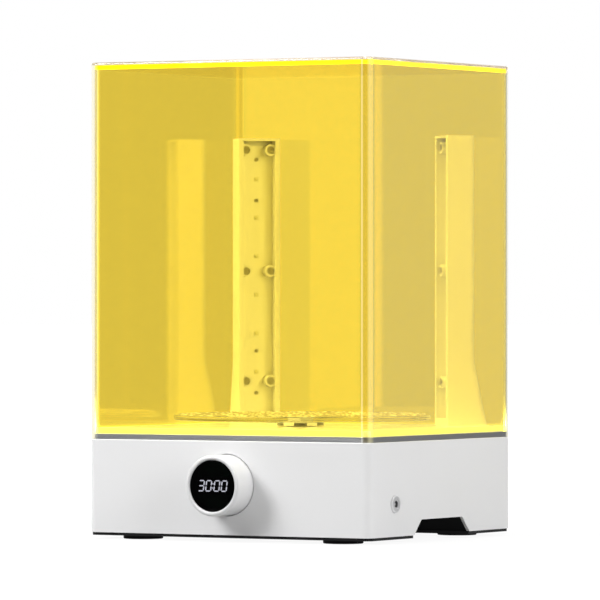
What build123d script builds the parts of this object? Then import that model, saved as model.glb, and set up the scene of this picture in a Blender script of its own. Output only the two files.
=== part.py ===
from build123d import *
import math
import os

# Dental lab light curing unit. Millimetres, +Z up, front towards -Y.
# The origin is the centre of the footprint, on the bench that the four feet stand on.

os.makedirs("parts", exist_ok=True)

# ---------------------------------------------------------------- driving dimensions
# overall
base_w = 268.0
base_d = 244.0
corner_r = 8.0

# fits
slip = 0.02  # radial, between pieces of one body that are pressed or screwed together
running = 0.05  # radial, between a turning or sliding piece and what guides it
seat_gap = 0.3  # between pieces of different bodies that don't bear on each other

# feet and bottom plate
foot_d = 33.0
foot_h = 3.1
foot_inset_x = 38.6
foot_inset_y = 25.0
foot_edge_r = 0.9
foot_bore_d = 9.0
foot_bore_depth = 2.2
plate_t = 2.4
plate_inset = 1.0

# housing
housing_h = 77.1
housing_wall = 2.4
housing_edge_r = 0.6
column_r = 5.0
column_depth = 12.0
side_column_r = 4.2
side_column_x = 52.0
side_column_inset = 10.0

# hand-hold notch in each side
notch_top_w = 70.0
notch_bottom_w = 95.0
notch_h = 12.6
notch_r = 3.0
well_depth = 48.0
well_wall = 1.6

# deck
rim_h = 4.4
floor_rise = 5.3
floor_sheet = 1.2
floor_edge_r = 0.8

# hood
hood_h = 312.1
skin_t = 2.0
liner_gap = 0.25
liner_t = 2.0
liner_top_t = 3.6
liner_lift = 0.4
hood_edge_r = 2.0
hood_fit = 0.5

# hood magnet and its sensor
magnet_d = 3.0
magnet_t = 1.2
magnet_h = 2.4
sensor_size = (4.0, 3.0, 2.6)

# lamp posts
post_inset_x = 47.2
post_inset_y = 41.5
post_w = 36.6
post_depth = 24.9
post_h = 243.5
post_wall = 2.2
post_lip = 4.2
post_back_r = 5.0
post_front_r = 0.8
post_base_t = 6.0
post_top_t = 2.0
channel_depth = 13.0
channel_floor_t = 2.4
flare_depth = 36.2
flare_h = 54.0
flare_bend_r = 60.0
post_screw_x = 11.0
post_screw_y = 6.0
duct_x = 9.0
duct_d = 8.0
support_r = 4.5

# lamp boards
board_t = 1.6
board_side_gap = 0.2
board_low = 8.0
board_high = 4.0
lamp_count = 6
lamp_low = 43.8
lamp_drop = 34.7
lamp_size = 3.5
lamp_body_t = 0.9
lamp_dome_r = 1.3
board_screw_lows = (25.7, 61.7)
board_screw_drops = (52.8, 17.8)
board_screw_head_d = 3.2
board_screw_head_t = 1.1
board_screw_d = 2.0
board_screw_l = 3.4
boss_lows = (36.0, 130.1)
boss_drop = 9.8
boss_x = 10.8
boss_r = 5.0
boss_setback = 3.0
boss_pocket_d = 6.6
boss_pocket_depth = 3.0

# turntable
disc_r = 106.0
disc_t = 4.6
disc_clear = 5.4
disc_edge_r = 0.9
hub_r = 20.0
hub_gap = 0.6
hub_flange_t = 2.2
hub_core_r = 8.5
hub_slots = 6
hub_slot_w = 10.9
key_flats = 14.0
key_gap = 0.3

# turntable drive
shaft_d = 6.0
shaft_in_gearbox = 8.0
bush_d = 12.0
bush_flange_d = 20.0
bush_flange_t = 2.4
bush_l = 8.0
gearbox_d = 25.0
gearbox_l = 21.0
motor_d = 24.4
motor_l = 31.0
bracket_w = 54.0
bracket_d = 34.0
bracket_t = 2.0
bracket_drop = 8.0
bracket_screw_x = 21.0
bracket_screw_y = 11.0
gearbox_screw_x = 8.5

# knob and timer display
knob_z = 46.5
knob_d = 50.0
knob_reach = 24.4
knob_panel_gap = 0.6
knob_wall = 3.0
knob_in_panel = 5.0
knob_lip_t = 1.7
knob_lip_d = 42.6
knob_lip_chamfer = 1.0
knob_front_r = 2.0
press_travel = 1.0
window_d = 42.0
window_sink = 1.0
carriage_wall = 1.4
carriage_web = 2.4
carriage_l = 34.2
stem_side = 16.0
stem_l = 20.2
stem_gap = 0.1
stem_hollow = 11.0
display_size = (30.2, 14.0)
display_t = 6.2
display_board_d = 40.0
display_board_t = 1.2
digit_h = 8.4
digit_w = 4.8
digit_pitch = 6.9
colon_space = 0.9  # more between the two pairs
digit_slant = 8.0
segment_w = 0.9
segment_t = 0.3
segment_gap = 0.35
colon_d = 1.0
encoder_d = 49.0
encoder_t = 2.5
encoder_slots = 30
encoder_slot_size = (1.6, 2.4)
reader_size = (7.0, 5.0, 2.8)
clip_t = 1.0
clip_d = 47.2
clip_groove = 0.6
clip_gap = 8.0

# knob guide
guide_flange_w = 62.0
guide_flange_r = 6.5
guide_bore_d = 53.0
guide_wall = 2.0
guide_t = 2.4
guide_boss_h = 5.0
guide_boss_r = 3.6
guide_screw_x = 24.5
guide_l = 19.0
switch_side = 12.0
switch_t = 4.6
plunger_d = 3.6
plunger_l = 3.5
switch_post_x = 16.0
switch_post_r = 3.2
switch_board_size = (42.0, 16.0)
switch_board_t = 1.6
switch_reach = 1.4

# power inlet
jack_inset = 42.0
jack_z = 32.0
jack_flange_d = 14.0
jack_flange_t = 1.7
jack_thread_d = 10.8
jack_bore_d = 5.6
jack_bore_l = 11.0
jack_pin_d = 2.0
jack_pin_l = 9.4
jack_ring_d = 8.4
jack_ring_depth = 0.5
jack_block = 12.6
jack_block_l = 8.0
jack_thread_l = 8.0
jack_nut_flats = 14.0
jack_nut_t = 2.6

# control board
pcb_well_gap = 2.0
pcb_inset_y = 90.0
pcb_w = 60.0
pcb_d = 84.0
pcb_t = 1.6
pcb_corner_r = 2.0
pcb_hole_inset = 4.5
standoff_flats = 5.5
standoff_h = 8.0

# leads inside the base and the posts
lead_d = 3.0
lead_hole_gap = 0.6
lamp_lead_h = 19.0
lead_low_z = 30.0
lead_high_z = 40.0

# fasteners: head diameter, head height, shank diameter, shank length
foot_screw = (7.6, 2.0, 4.0, 12.0)
plate_screw = (5.8, 1.0, 3.0, 9.0)
post_screw = (5.8, 2.0, 3.0, 15.5)
boss_screw = (6.0, 2.2, 3.0, 8.0)
bracket_screw = (5.8, 1.8, 3.0, 7.5)
gearbox_screw = (5.2, 1.6, 3.0, 5.5)
pcb_screw = (5.2, 1.6, 3.0, 5.5)
guide_screw = (5.2, 1.6, 3.0, 6.0)
switch_screw = (4.4, 1.4, 2.5, 6.0)
screw_recess_flats = 2.2
screw_recess_depth = 0.9

# ---------------------------------------------------------------- levels and places
plate_z = foot_h
housing_z = plate_z + plate_t
ledge_z = housing_z + housing_h
rim_z = ledge_z + rim_h
floor_z = rim_z + floor_rise
floor_under_z = floor_z - floor_sheet
ceiling_z = ledge_z - housing_wall
hood_z = ledge_z + hood_h

half_w = base_w / 2
half_d = base_d / 2
front_y = -half_d
inner_front_y = front_y + housing_wall
jack_y = front_y + jack_inset
pcb_y = half_d - pcb_inset_y
foot_x = half_w - foot_inset_x
foot_y = half_d - foot_inset_y
well_end_x = half_w - housing_wall - well_depth

skin_in_w = base_w - 2 * skin_t
skin_in_d = base_d - 2 * skin_t
skin_in_r = corner_r - skin_t
rim_w = skin_in_w - 2 * seat_gap
rim_d = skin_in_d - 2 * seat_gap
rim_r = skin_in_r - seat_gap
liner_w = skin_in_w - 2 * liner_gap
liner_d = skin_in_d - 2 * liner_gap
liner_r = skin_in_r - liner_gap
liner_in_w = liner_w - 2 * liner_t
liner_in_d = liner_d - 2 * liner_t
liner_in_r = liner_r - liner_t
floor_w = liner_in_w - 2 * hood_fit
floor_d = liner_in_d - 2 * hood_fit
floor_r = liner_in_r - hood_fit
liner_top_z = hood_z - skin_t - liner_gap
liner_under_z = liner_top_z - liner_top_t

foot_places = [(sx * foot_x, sy * foot_y) for sx in (-1, 1) for sy in (-1, 1)]
side_column_y = half_d - side_column_inset
rib_l = side_column_inset - housing_wall / 2
side_places = [(sx * side_column_x, sy * side_column_y) for sx in (-1, 1) for sy in (-1, 1)]
bracket_places = [(sx * bracket_screw_x, sy * bracket_screw_y) for sx in (-1, 1) for sy in (-1, 1)]
pcb_x = -(well_end_x - well_wall - pcb_well_gap - pcb_w / 2)
pcb_hole_x = pcb_w / 2 - pcb_hole_inset
pcb_hole_y = pcb_d / 2 - pcb_hole_inset
pcb_places = [(pcb_x + sx * pcb_hole_x, pcb_y + sy * pcb_hole_y) for sx in (-1, 1) for sy in (-1, 1)]
post_x = half_w - post_inset_x
post_y = half_d - post_inset_y
boss_heights = list(boss_lows) + [post_h - boss_drop]
board_screw_heights = list(board_screw_lows) + [post_h - drop for drop in board_screw_drops]
lamp_pitch = (post_h - lamp_drop - lamp_low) / (lamp_count - 1)
turn45 = math.sqrt(0.5)


# ---------------------------------------------------------------- helpers
def finish(piece, name):
    """Label a finished piece and write its STEP file."""
    piece.part.label = name
    export_step(piece.part, f"parts/{name}.step")


def post_plane(side, depth=0.0, z=floor_z):
    """Level plane of a lamp post: X across its face, Y into its depth."""
    across = Vector(turn45, -side * turn45, 0)
    inward = Vector(side * turn45, turn45, 0)
    origin = Vector(side * post_x, post_y, z) + inward * depth
    return Plane(origin=origin, x_dir=across, z_dir=(0, 0, 1))


def post_front(side, depth):
    """Upright plane of a lamp post, facing the turntable: X across, Y up from the chamber floor."""
    level = post_plane(side, depth)
    return Plane(origin=level.origin, x_dir=level.x_dir, z_dir=-level.y_dir)


def post_side(side):
    """Upright plane through a lamp post's middle: X into its depth, Y up from the chamber floor."""
    level = post_plane(side)
    return Plane(origin=level.origin, x_dir=level.y_dir, z_dir=level.x_dir)


def post_point(side, across, depth):
    """World XY of a point given across a lamp post's face and into its depth."""
    point = post_plane(side).from_local_coords(Vector(across, depth, 0))
    return (point.X, point.Y)


def knob_plane(y):
    """Upright plane that faces the front, centred on the knob's axis."""
    return Plane(origin=(0, y, knob_z), x_dir=(1, 0, 0), z_dir=(0, -1, 0))


def side_plane(x, y=0.0, z=0.0):
    """Upright plane that faces right: X towards the back, Y up."""
    return Plane(origin=(x, y, z), x_dir=(0, 1, 0), z_dir=(1, 0, 0))


def add_screws(plane, places, size):
    """Pan-head screws: the head stands on the plane's outer side and the shank goes into it."""
    head_d, head_h, shank_d, shank_l = size
    with BuildSketch(plane) as heads:
        with Locations(*places):
            Circle(head_d / 2)
    extrude(heads.sketch, amount=head_h)
    with BuildSketch(plane) as shanks:
        with Locations(*places):
            Circle(shank_d / 2)
    extrude(shanks.sketch, amount=-shank_l)
    with BuildSketch(plane.offset(head_h)) as recesses:
        with Locations(*places):
            RegularPolygon(screw_recess_flats / 2, 6, major_radius=False)
    extrude(recesses.sketch, amount=-screw_recess_depth, mode=Mode.SUBTRACT)


def cut_holes(plane, places, diameter, depth):
    """Round holes that go into the plane."""
    with BuildSketch(plane) as holes:
        with Locations(*places):
            Circle(diameter / 2)
    extrude(holes.sketch, amount=-depth, mode=Mode.SUBTRACT)


post_sides = {"left": -1, "right": 1}
post_screw_places = [
    post_point(side, sx * post_screw_x, post_screw_y) for side in post_sides.values() for sx in (-1, 1)
]
duct_y = channel_depth + channel_floor_t + duct_d / 2 - 0.4
duct_places = [post_point(side, duct_x * side, duct_y) for side in post_sides.values()]

# ---------------------------------------------------------------- feet
down_plane = Plane(origin=(0, 0, 0), x_dir=(1, 0, 0), z_dir=(0, 0, -1))
for name, (x, y) in {
    "foot_front_left": (-foot_x, -foot_y),
    "foot_front_right": (foot_x, -foot_y),
    "foot_rear_left": (-foot_x, foot_y),
    "foot_rear_right": (foot_x, foot_y),
}.items():
    with BuildPart() as foot:
        with BuildSketch(Plane.XY):
            with Locations((x, y)):
                Circle(foot_d / 2)
        extrude(amount=foot_h)
        fillet(foot.edges().group_by(Axis.Z)[0], radius=foot_edge_r)
        with BuildSketch(Plane.XY):
            with Locations((x, y)):
                Circle(foot_bore_d / 2)
        extrude(amount=foot_bore_depth, mode=Mode.SUBTRACT)
        with BuildSketch(Plane.XY):
            with Locations((x, y)):
                Circle(foot_screw[2] / 2 + slip)
        extrude(amount=foot_h, mode=Mode.SUBTRACT)
    finish(foot, name)

with BuildPart() as foot_screws:
    under = Plane(origin=(0, 0, foot_bore_depth), x_dir=(1, 0, 0), z_dir=(0, 0, -1))
    add_screws(under, foot_places, foot_screw)
finish(foot_screws, "foot_screws")

# ---------------------------------------------------------------- bottom plate
with BuildPart() as bottom_plate:
    with BuildSketch(Plane.XY.offset(plate_z)):
        RectangleRounded(base_w - 2 * plate_inset, base_d - 2 * plate_inset, corner_r - plate_inset)
        with Locations((-half_w, 0), (half_w, 0)):
            Rectangle(2 * (half_w - well_end_x), notch_bottom_w, mode=Mode.SUBTRACT)
        with Locations(*foot_places):
            Circle(foot_screw[2] / 2 + slip, mode=Mode.SUBTRACT)
        with Locations(*side_places):
            Circle(plate_screw[2] / 2 + slip, mode=Mode.SUBTRACT)
    extrude(amount=plate_t)
    with BuildSketch(Plane.XY.offset(plate_z)):
        with Locations(*side_places):
            Circle(plate_screw[0] / 2 + slip)
    extrude(amount=plate_screw[1], mode=Mode.SUBTRACT)
    inner_corners = bottom_plate.edges().filter_by(Axis.Z).filter_by(
        lambda e: abs(abs(e.center().X) - well_end_x) < 0.1 and e.length > plate_t / 2
    )
    fillet(inner_corners, radius=notch_r)
finish(bottom_plate, "bottom_plate")

with BuildPart() as plate_screws:
    under = Plane(origin=(0, 0, plate_z + plate_screw[1]), x_dir=(1, 0, 0), z_dir=(0, 0, -1))
    add_screws(under, side_places, plate_screw)
finish(plate_screws, "plate_screws")

# ---------------------------------------------------------------- housing
knob_hole_d = knob_d + 2 * knob_panel_gap
guide_boss_places = [(sx * guide_screw_x, sz * guide_screw_x) for sx in (-1, 1) for sz in (-1, 1)]

with BuildPart() as base_housing:
    with BuildSketch(Plane.XY.offset(housing_z)):
        RectangleRounded(base_w, base_d, corner_r)
    extrude(amount=housing_h)
    fillet(base_housing.edges().group_by(Axis.Z)[-1], radius=housing_edge_r)
    with BuildSketch(Plane.XY.offset(housing_z)):
        RectangleRounded(base_w - 2 * housing_wall, base_d - 2 * housing_wall, corner_r - housing_wall)
    extrude(amount=housing_h - housing_wall, mode=Mode.SUBTRACT)
    # columns that take the foot and plate screws
    with BuildSketch(Plane.XY.offset(housing_z)):
        with Locations(*foot_places):
            Circle(column_r)
        with Locations(*side_places):
            Circle(side_column_r)
        with Locations(*[(x, math.copysign(side_column_y + rib_l / 2, y)) for x, y in side_places]):
            Rectangle(housing_wall, rib_l)
    extrude(amount=housing_h - housing_wall)
    # supports under the chamber floor, at the lamp post screws
    with BuildSketch(Plane.XY.offset(ledge_z - housing_wall)):
        with Locations(*post_screw_places):
            Circle(support_r)
    extrude(amount=floor_under_z - ledge_z + housing_wall)
    # bosses that hold the gearmotor bracket
    with BuildSketch(Plane.XY.offset(ceiling_z - bracket_drop)):
        with Locations(*bracket_places):
            Circle(side_column_r)
    extrude(amount=bracket_drop)
    # bosses that hold the knob guide
    with BuildSketch(knob_plane(inner_front_y + guide_boss_h)):
        with Locations(*guide_boss_places):
            Circle(guide_boss_r)
    extrude(amount=guide_boss_h)
    # holes
    foot_hole = Plane(origin=(0, 0, housing_z), x_dir=(1, 0, 0), z_dir=(0, 0, -1))
    cut_holes(foot_hole, foot_places, foot_screw[2] + 2 * slip, column_depth)
    cut_holes(foot_hole, side_places, plate_screw[2] + 2 * slip, column_depth)
    cut_holes(
        Plane.XY.offset(floor_under_z), post_screw_places, post_screw[2] + 2 * slip, floor_under_z - ceiling_z
    )
    cut_holes(Plane.XY.offset(ledge_z), duct_places, duct_d, housing_wall)
    cut_holes(Plane.XY.offset(ledge_z), [(0, 0)], bush_d + 2 * slip, housing_wall)
    bracket_face = Plane(origin=(0, 0, ceiling_z - bracket_drop), x_dir=(1, 0, 0), z_dir=(0, 0, -1))
    cut_holes(bracket_face, bracket_places, bracket_screw[2] + 2 * slip, bracket_drop - 1)
    cut_holes(
        Plane(origin=(0, inner_front_y + guide_boss_h, knob_z), x_dir=(1, 0, 0), z_dir=(0, 1, 0)),
        guide_boss_places,
        guide_screw[2] + 2 * slip,
        guide_boss_h,
    )
    cut_holes(knob_plane(front_y), [(0, 0)], knob_hole_d, housing_wall)
    cut_holes(side_plane(half_w, jack_y, jack_z), [(0, 0)], jack_thread_d + 2 * slip, housing_wall)
    # hand-hold notches, with their mouths rounded
    for sx in (-1, 1):
        with BuildSketch(side_plane(sx * half_w, 0, housing_z)):
            with BuildLine():
                mouth = FilletPolyline(
                    (-notch_bottom_w / 2 - 3 * notch_r, 0),
                    (-notch_bottom_w / 2, 0),
                    (-notch_top_w / 2, notch_h),
                    (notch_top_w / 2, notch_h),
                    (notch_bottom_w / 2, 0),
                    (notch_bottom_w / 2 + 3 * notch_r, 0),
                    radius=notch_r,
                )
                Polyline(
                    mouth @ 1,
                    (notch_bottom_w / 2 + 3 * notch_r, -notch_r),
                    (-notch_bottom_w / 2 - 3 * notch_r, -notch_r),
                    mouth @ 0,
                )
            make_face()
        extrude(amount=-sx * housing_wall, mode=Mode.SUBTRACT)
finish(base_housing, "base_housing")

# ---------------------------------------------------------------- hand-hold wells
lean = (notch_bottom_w - notch_top_w) / 2 / notch_h
well_grow = well_wall * math.hypot(1, lean)
for name, sx in {"grip_well_left": -1, "grip_well_right": 1}.items():
    mouth_x = sx * (half_w - housing_wall)
    with BuildPart() as well:
        with BuildSketch(side_plane(mouth_x, 0, housing_z)):
            with BuildLine():
                Polyline(
                    (-notch_bottom_w / 2 - well_grow, 0),
                    (-notch_top_w / 2 - well_grow + lean * well_wall, notch_h + well_wall),
                    (notch_top_w / 2 + well_grow - lean * well_wall, notch_h + well_wall),
                    (notch_bottom_w / 2 + well_grow, 0),
                    close=True,
                )
            make_face()
        extrude(amount=-sx * (well_depth + well_wall))
        with BuildSketch(side_plane(mouth_x, 0, housing_z)):
            with BuildLine():
                Polyline(
                    (-notch_bottom_w / 2, 0),
                    (-notch_top_w / 2, notch_h),
                    (notch_top_w / 2, notch_h),
                    (notch_bottom_w / 2, 0),
                    close=True,
                )
            make_face()
        extrude(amount=-sx * well_depth, mode=Mode.SUBTRACT)
    finish(well, name)

# ---------------------------------------------------------------- deck rim and chamber floor
with BuildPart() as deck_rim:
    with BuildSketch(Plane.XY.offset(ledge_z)):
        RectangleRounded(rim_w, rim_d, rim_r)
        RectangleRounded(floor_w + 2 * slip, floor_d + 2 * slip, floor_r + slip, mode=Mode.SUBTRACT)
    extrude(amount=rim_h)
finish(deck_rim, "deck_rim")

with BuildPart() as chamber_floor:
    with BuildSketch(Plane.XY.offset(ledge_z)):
        RectangleRounded(floor_w, floor_d, floor_r)
    extrude(amount=floor_z - ledge_z)
    fillet(chamber_floor.edges().group_by(Axis.Z)[-1], radius=floor_edge_r)
    with BuildSketch(Plane.XY.offset(ledge_z)):
        RectangleRounded(floor_w - 2 * floor_sheet, floor_d - 2 * floor_sheet, floor_r - floor_sheet)
    extrude(amount=floor_under_z - ledge_z, mode=Mode.SUBTRACT)
    cut_holes(Plane.XY.offset(floor_z), [(0, 0)], bush_flange_d + 2 * seat_gap, floor_sheet)
    cut_holes(Plane.XY.offset(floor_z), post_screw_places, post_screw[2] + 2 * slip, floor_sheet)
    cut_holes(Plane.XY.offset(floor_z), duct_places, duct_d, floor_sheet)
finish(chamber_floor, "chamber_floor")

# ---------------------------------------------------------------- lamp posts
for hand, side in post_sides.items():
    face = post_plane(side)
    with BuildPart() as post_housing:
        with BuildSketch(post_side(side)):
            with BuildLine():
                back = FilletPolyline(
                    (flare_depth, 0), (post_depth, flare_h), (post_depth, post_h), radius=flare_bend_r
                )
                Polyline(back @ 1, (0, post_h), (0, 0), back @ 0)
            make_face()
        extrude(amount=post_w / 2, both=True)
        back_edges = [
            e
            for e in post_housing.edges()
            if abs(abs(face.to_local_coords(e.center()).X) - post_w / 2) < 0.01
            and face.to_local_coords(e.center()).Y > post_depth - 0.01
        ]
        fillet(back_edges, radius=post_back_r)
        front_edges = [
            e
            for e in post_housing.edges().filter_by(Axis.Z)
            if abs(face.to_local_coords(e.center()).Y) < 0.01
        ]
        fillet(front_edges, radius=post_front_r)
        # wire duct behind the channel
        with BuildSketch(post_side(side)):
            with BuildLine():
                Polyline(
                    (channel_depth + channel_floor_t, post_base_t),
                    (flare_depth - 2 * post_wall, post_base_t),
                    (post_depth - post_wall, flare_h),
                    (post_depth - post_wall, post_h - post_top_t),
                    (channel_depth + channel_floor_t, post_h - post_top_t),
                    close=True,
                )
            make_face()
        extrude(amount=post_w / 2 - 2 * post_wall, both=True, mode=Mode.SUBTRACT)
        # channel for the lamp board
        with BuildSketch(post_plane(side, 0, floor_z + post_base_t)):
            with Locations((0, channel_depth / 2)):
                Rectangle(post_w - 2 * post_lip, channel_depth)
        extrude(amount=post_h - post_base_t - post_top_t, mode=Mode.SUBTRACT)
        # bosses along both sides of the channel, with a pocket for each screw head
        boss_places = [(sx * boss_x, z) for sx in (-1, 1) for z in boss_heights]
        with BuildSketch(post_front(side, channel_depth)):
            with Locations(*boss_places):
                Circle(boss_r)
        extrude(amount=channel_depth - boss_setback)
        cut_holes(post_front(side, boss_setback), boss_places, boss_pocket_d, boss_pocket_depth)
        screw_seat = post_front(side, boss_setback + boss_pocket_depth)
        cut_holes(screw_seat, boss_places, boss_screw[2] + 2 * slip, boss_screw[3])
        # board screws
        board_screw_places = [(0, z) for z in board_screw_heights]
        cut_holes(
            post_front(side, channel_depth), board_screw_places, board_screw_d + 2 * slip, channel_floor_t
        )
        # mounting screws and cable way in the foot of the post
        underside = Plane(origin=face.origin, x_dir=face.x_dir, z_dir=(0, 0, -1))
        mount_places = [(sx * post_screw_x, -post_screw_y) for sx in (-1, 1)]
        cut_holes(underside, mount_places, post_screw[2] + 2 * slip, post_base_t - 1)
        cut_holes(underside, [(duct_x * side, -duct_y)], duct_d, post_base_t)
        lead_exit = (duct_x * side, lamp_lead_h)
        cut_holes(
            post_front(side, channel_depth), [lead_exit], lead_d + 2 * lead_hole_gap, channel_floor_t
        )
    finish(post_housing, f"post_housing_{hand}")

    board_front = channel_depth - board_t
    with BuildPart() as lamp_board:
        with BuildSketch(post_front(side, channel_depth)):
            with Locations((0, (board_low + post_h - post_top_t - board_high) / 2)):
                Rectangle(
                    post_w - 2 * post_lip - 2 * board_side_gap,
                    post_h - post_top_t - board_high - board_low,
                )
            with Locations(*boss_places):
                Circle(boss_r + board_side_gap, mode=Mode.SUBTRACT)
            with Locations(*board_screw_places):
                Circle(board_screw_d / 2 + slip, mode=Mode.SUBTRACT)
        extrude(amount=board_t)
    finish(lamp_board, f"lamp_board_{hand}")

    lamp_places = [(0, lamp_low + i * lamp_pitch) for i in range(lamp_count)]
    with BuildPart() as lamps:
        with BuildSketch(post_front(side, board_front)):
            with Locations(*lamp_places):
                Rectangle(lamp_size, lamp_size)
        extrude(amount=lamp_body_t)
        with BuildSketch(post_front(side, board_front - lamp_body_t)):
            with Locations(*lamp_places):
                Circle(lamp_dome_r)
        extrude(amount=lamp_dome_r / 2)
        lamp_fronts = [
            e
            for e in lamps.edges().filter_by(GeomType.CIRCLE)
            if face.to_local_coords(e.center()).Y < board_front - lamp_body_t - 0.1
        ]
        fillet(lamp_fronts, radius=lamp_dome_r / 2.2)
    finish(lamps, f"lamps_{hand}")

    with BuildPart() as lamp_board_screws:
        add_screws(
            post_front(side, board_front),
            board_screw_places,
            (board_screw_head_d, board_screw_head_t, board_screw_d, board_screw_l),
        )
    finish(lamp_board_screws, f"lamp_board_screws_{hand}")

    with BuildPart() as post_case_screws:
        add_screws(screw_seat, boss_places, boss_screw)
    finish(post_case_screws, f"post_case_screws_{hand}")

with BuildPart() as post_mount_screws:
    under = Plane(origin=(0, 0, ceiling_z), x_dir=(1, 0, 0), z_dir=(0, 0, -1))
    add_screws(under, [(x, -y) for x, y in post_screw_places], post_screw)
finish(post_mount_screws, "post_mount_screws")

# ---------------------------------------------------------------- turntable and its drive
gearbox_top = ceiling_z - bracket_drop - bracket_t
hub_z = floor_z + hub_gap
disc_z = floor_z + disc_clear
disc_top = disc_z + disc_t
shaft_top = disc_z + disc_t / 2

with BuildPart() as spindle_bush:
    with BuildSketch(Plane.XY.offset(ledge_z)):
        Circle(bush_flange_d / 2)
    extrude(amount=bush_flange_t)
    with BuildSketch(Plane.XY.offset(ledge_z)):
        Circle(bush_d / 2)
    extrude(amount=-bush_l)
    cut_holes(Plane.XY.offset(ledge_z + bush_flange_t), [(0, 0)], shaft_d + 2 * running, bush_flange_t + bush_l)
finish(spindle_bush, "spindle_bush")

with BuildPart() as motor_bracket:
    with BuildSketch(Plane.XY.offset(gearbox_top)):
        RectangleRounded(bracket_w, bracket_d, corner_r / 2)
        Circle(shaft_d / 2 + 1.5, mode=Mode.SUBTRACT)
        with Locations(*bracket_places):
            Circle(bracket_screw[2] / 2 + slip, mode=Mode.SUBTRACT)
        with Locations((-gearbox_screw_x, 0), (gearbox_screw_x, 0)):
            Circle(gearbox_screw[2] / 2 + slip, mode=Mode.SUBTRACT)
    extrude(amount=bracket_t)
finish(motor_bracket, "motor_bracket")

with BuildPart() as motor_bracket_screws:
    under = Plane(origin=(0, 0, gearbox_top), x_dir=(1, 0, 0), z_dir=(0, 0, -1))
    add_screws(under, bracket_places, bracket_screw)
finish(motor_bracket_screws, "motor_bracket_screws")

with BuildPart() as gearbox:
    with BuildSketch(Plane.XY.offset(gearbox_top - gearbox_l)):
        Circle(gearbox_d / 2)
    extrude(amount=gearbox_l)
    chamfer(gearbox.edges().group_by(Axis.Z)[-1], length=0.5)
    cut_holes(Plane.XY.offset(gearbox_top), [(0, 0)], shaft_d + 2 * running, shaft_in_gearbox + 0.5)
    cut_holes(
        Plane.XY.offset(gearbox_top),
        [(-gearbox_screw_x, 0), (gearbox_screw_x, 0)],
        gearbox_screw[2] + 2 * slip,
        gearbox_screw[3],
    )
finish(gearbox, "gearbox")

with BuildPart() as gearbox_screws:
    add_screws(
        Plane.XY.offset(gearbox_top + bracket_t), [(-gearbox_screw_x, 0), (gearbox_screw_x, 0)], gearbox_screw
    )
finish(gearbox_screws, "gearbox_screws")

with BuildPart() as motor_can:
    with BuildSketch(Plane.XY.offset(gearbox_top - gearbox_l - motor_l)):
        Circle(motor_d / 2)
    extrude(amount=motor_l)
    fillet(motor_can.edges().group_by(Axis.Z)[0], radius=1.5)
finish(motor_can, "motor_can")

with BuildPart() as drive_shaft:
    with BuildSketch(Plane.XY.offset(gearbox_top - shaft_in_gearbox)):
        Circle(shaft_d / 2)
    extrude(amount=shaft_top - gearbox_top + shaft_in_gearbox)
    chamfer(drive_shaft.edges().group_by(Axis.Z)[-1], length=0.4)
finish(drive_shaft, "drive_shaft")

with BuildPart() as turntable_hub:
    with BuildSketch(Plane.XY.offset(hub_z)):
        Circle(hub_r)
    extrude(amount=disc_z - hub_z)
    with BuildSketch(Plane.XY.offset(hub_z)):
        with PolarLocations((hub_r + hub_core_r) / 2, hub_slots):
            Rectangle(hub_r - hub_core_r + 2, hub_slot_w)
    extrude(amount=disc_z - hub_z - hub_flange_t, mode=Mode.SUBTRACT)
    with BuildSketch(Plane.XY.offset(disc_z)):
        RegularPolygon(key_flats / 2, 6, major_radius=False)
    extrude(amount=disc_t)
    chamfer(turntable_hub.edges().group_by(Axis.Z)[-1], length=0.6)
    under = Plane(origin=(0, 0, hub_z), x_dir=(1, 0, 0), z_dir=(0, 0, -1))
    cut_holes(under, [(0, 0)], shaft_d + 2 * slip, shaft_top - hub_z + slip)
finish(turntable_hub, "turntable_hub")

with BuildPart() as turntable_disc:
    with BuildSketch(Plane.XY.offset(disc_z)):
        Circle(disc_r)
    extrude(amount=disc_t)
    fillet(turntable_disc.edges(), radius=disc_edge_r)
    with BuildSketch(Plane.XY.offset(disc_z)):
        RegularPolygon(key_flats / 2 + key_gap, 6, major_radius=False)
    extrude(amount=disc_t, mode=Mode.SUBTRACT)
finish(turntable_disc, "turntable_disc")

# ---------------------------------------------------------------- knob
ring_front = front_y - knob_reach
ring_back = front_y + knob_in_panel
ring_bore_d = knob_d - 2 * knob_wall
carriage_d = ring_bore_d - 2 * running
carriage_in_d = carriage_d - 2 * carriage_wall
lip_back = ring_front + knob_lip_t
carriage_front = lip_back + seat_gap
window_front = ring_front + window_sink
carriage_back = carriage_front + carriage_l
encoder_back = ring_back + encoder_t
clip_front = encoder_back + seat_gap
stem_back = carriage_back + stem_l

with BuildPart() as knob_ring:
    with BuildSketch(knob_plane(ring_back)):
        Circle(knob_d / 2)
    extrude(amount=ring_back - ring_front)
    fillet(knob_ring.faces().sort_by(Axis.Y)[0].edges(), radius=knob_front_r)
    with BuildSketch(knob_plane(ring_back)):
        Circle(ring_bore_d / 2)
    extrude(amount=ring_back - lip_back, mode=Mode.SUBTRACT)
    with BuildSketch(knob_plane(ring_back)):
        Circle(knob_lip_d / 2)
    extrude(amount=ring_back - ring_front, mode=Mode.SUBTRACT)
    lip_edge = knob_ring.edges().filter_by(GeomType.CIRCLE).sort_by(Axis.Y)[0:2].sort_by(SortBy.RADIUS)[0]
    chamfer(lip_edge, length=knob_lip_chamfer)
finish(knob_ring, "knob_ring")

with BuildPart() as encoder_ring:
    with BuildSketch(knob_plane(encoder_back)):
        Circle(encoder_d / 2)
        Circle(ring_bore_d / 2, mode=Mode.SUBTRACT)
        with PolarLocations(encoder_d / 2, encoder_slots):
            Rectangle(encoder_slot_size[0], encoder_slot_size[1], mode=Mode.SUBTRACT)
    extrude(amount=encoder_t)
finish(encoder_ring, "encoder_ring")

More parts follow.
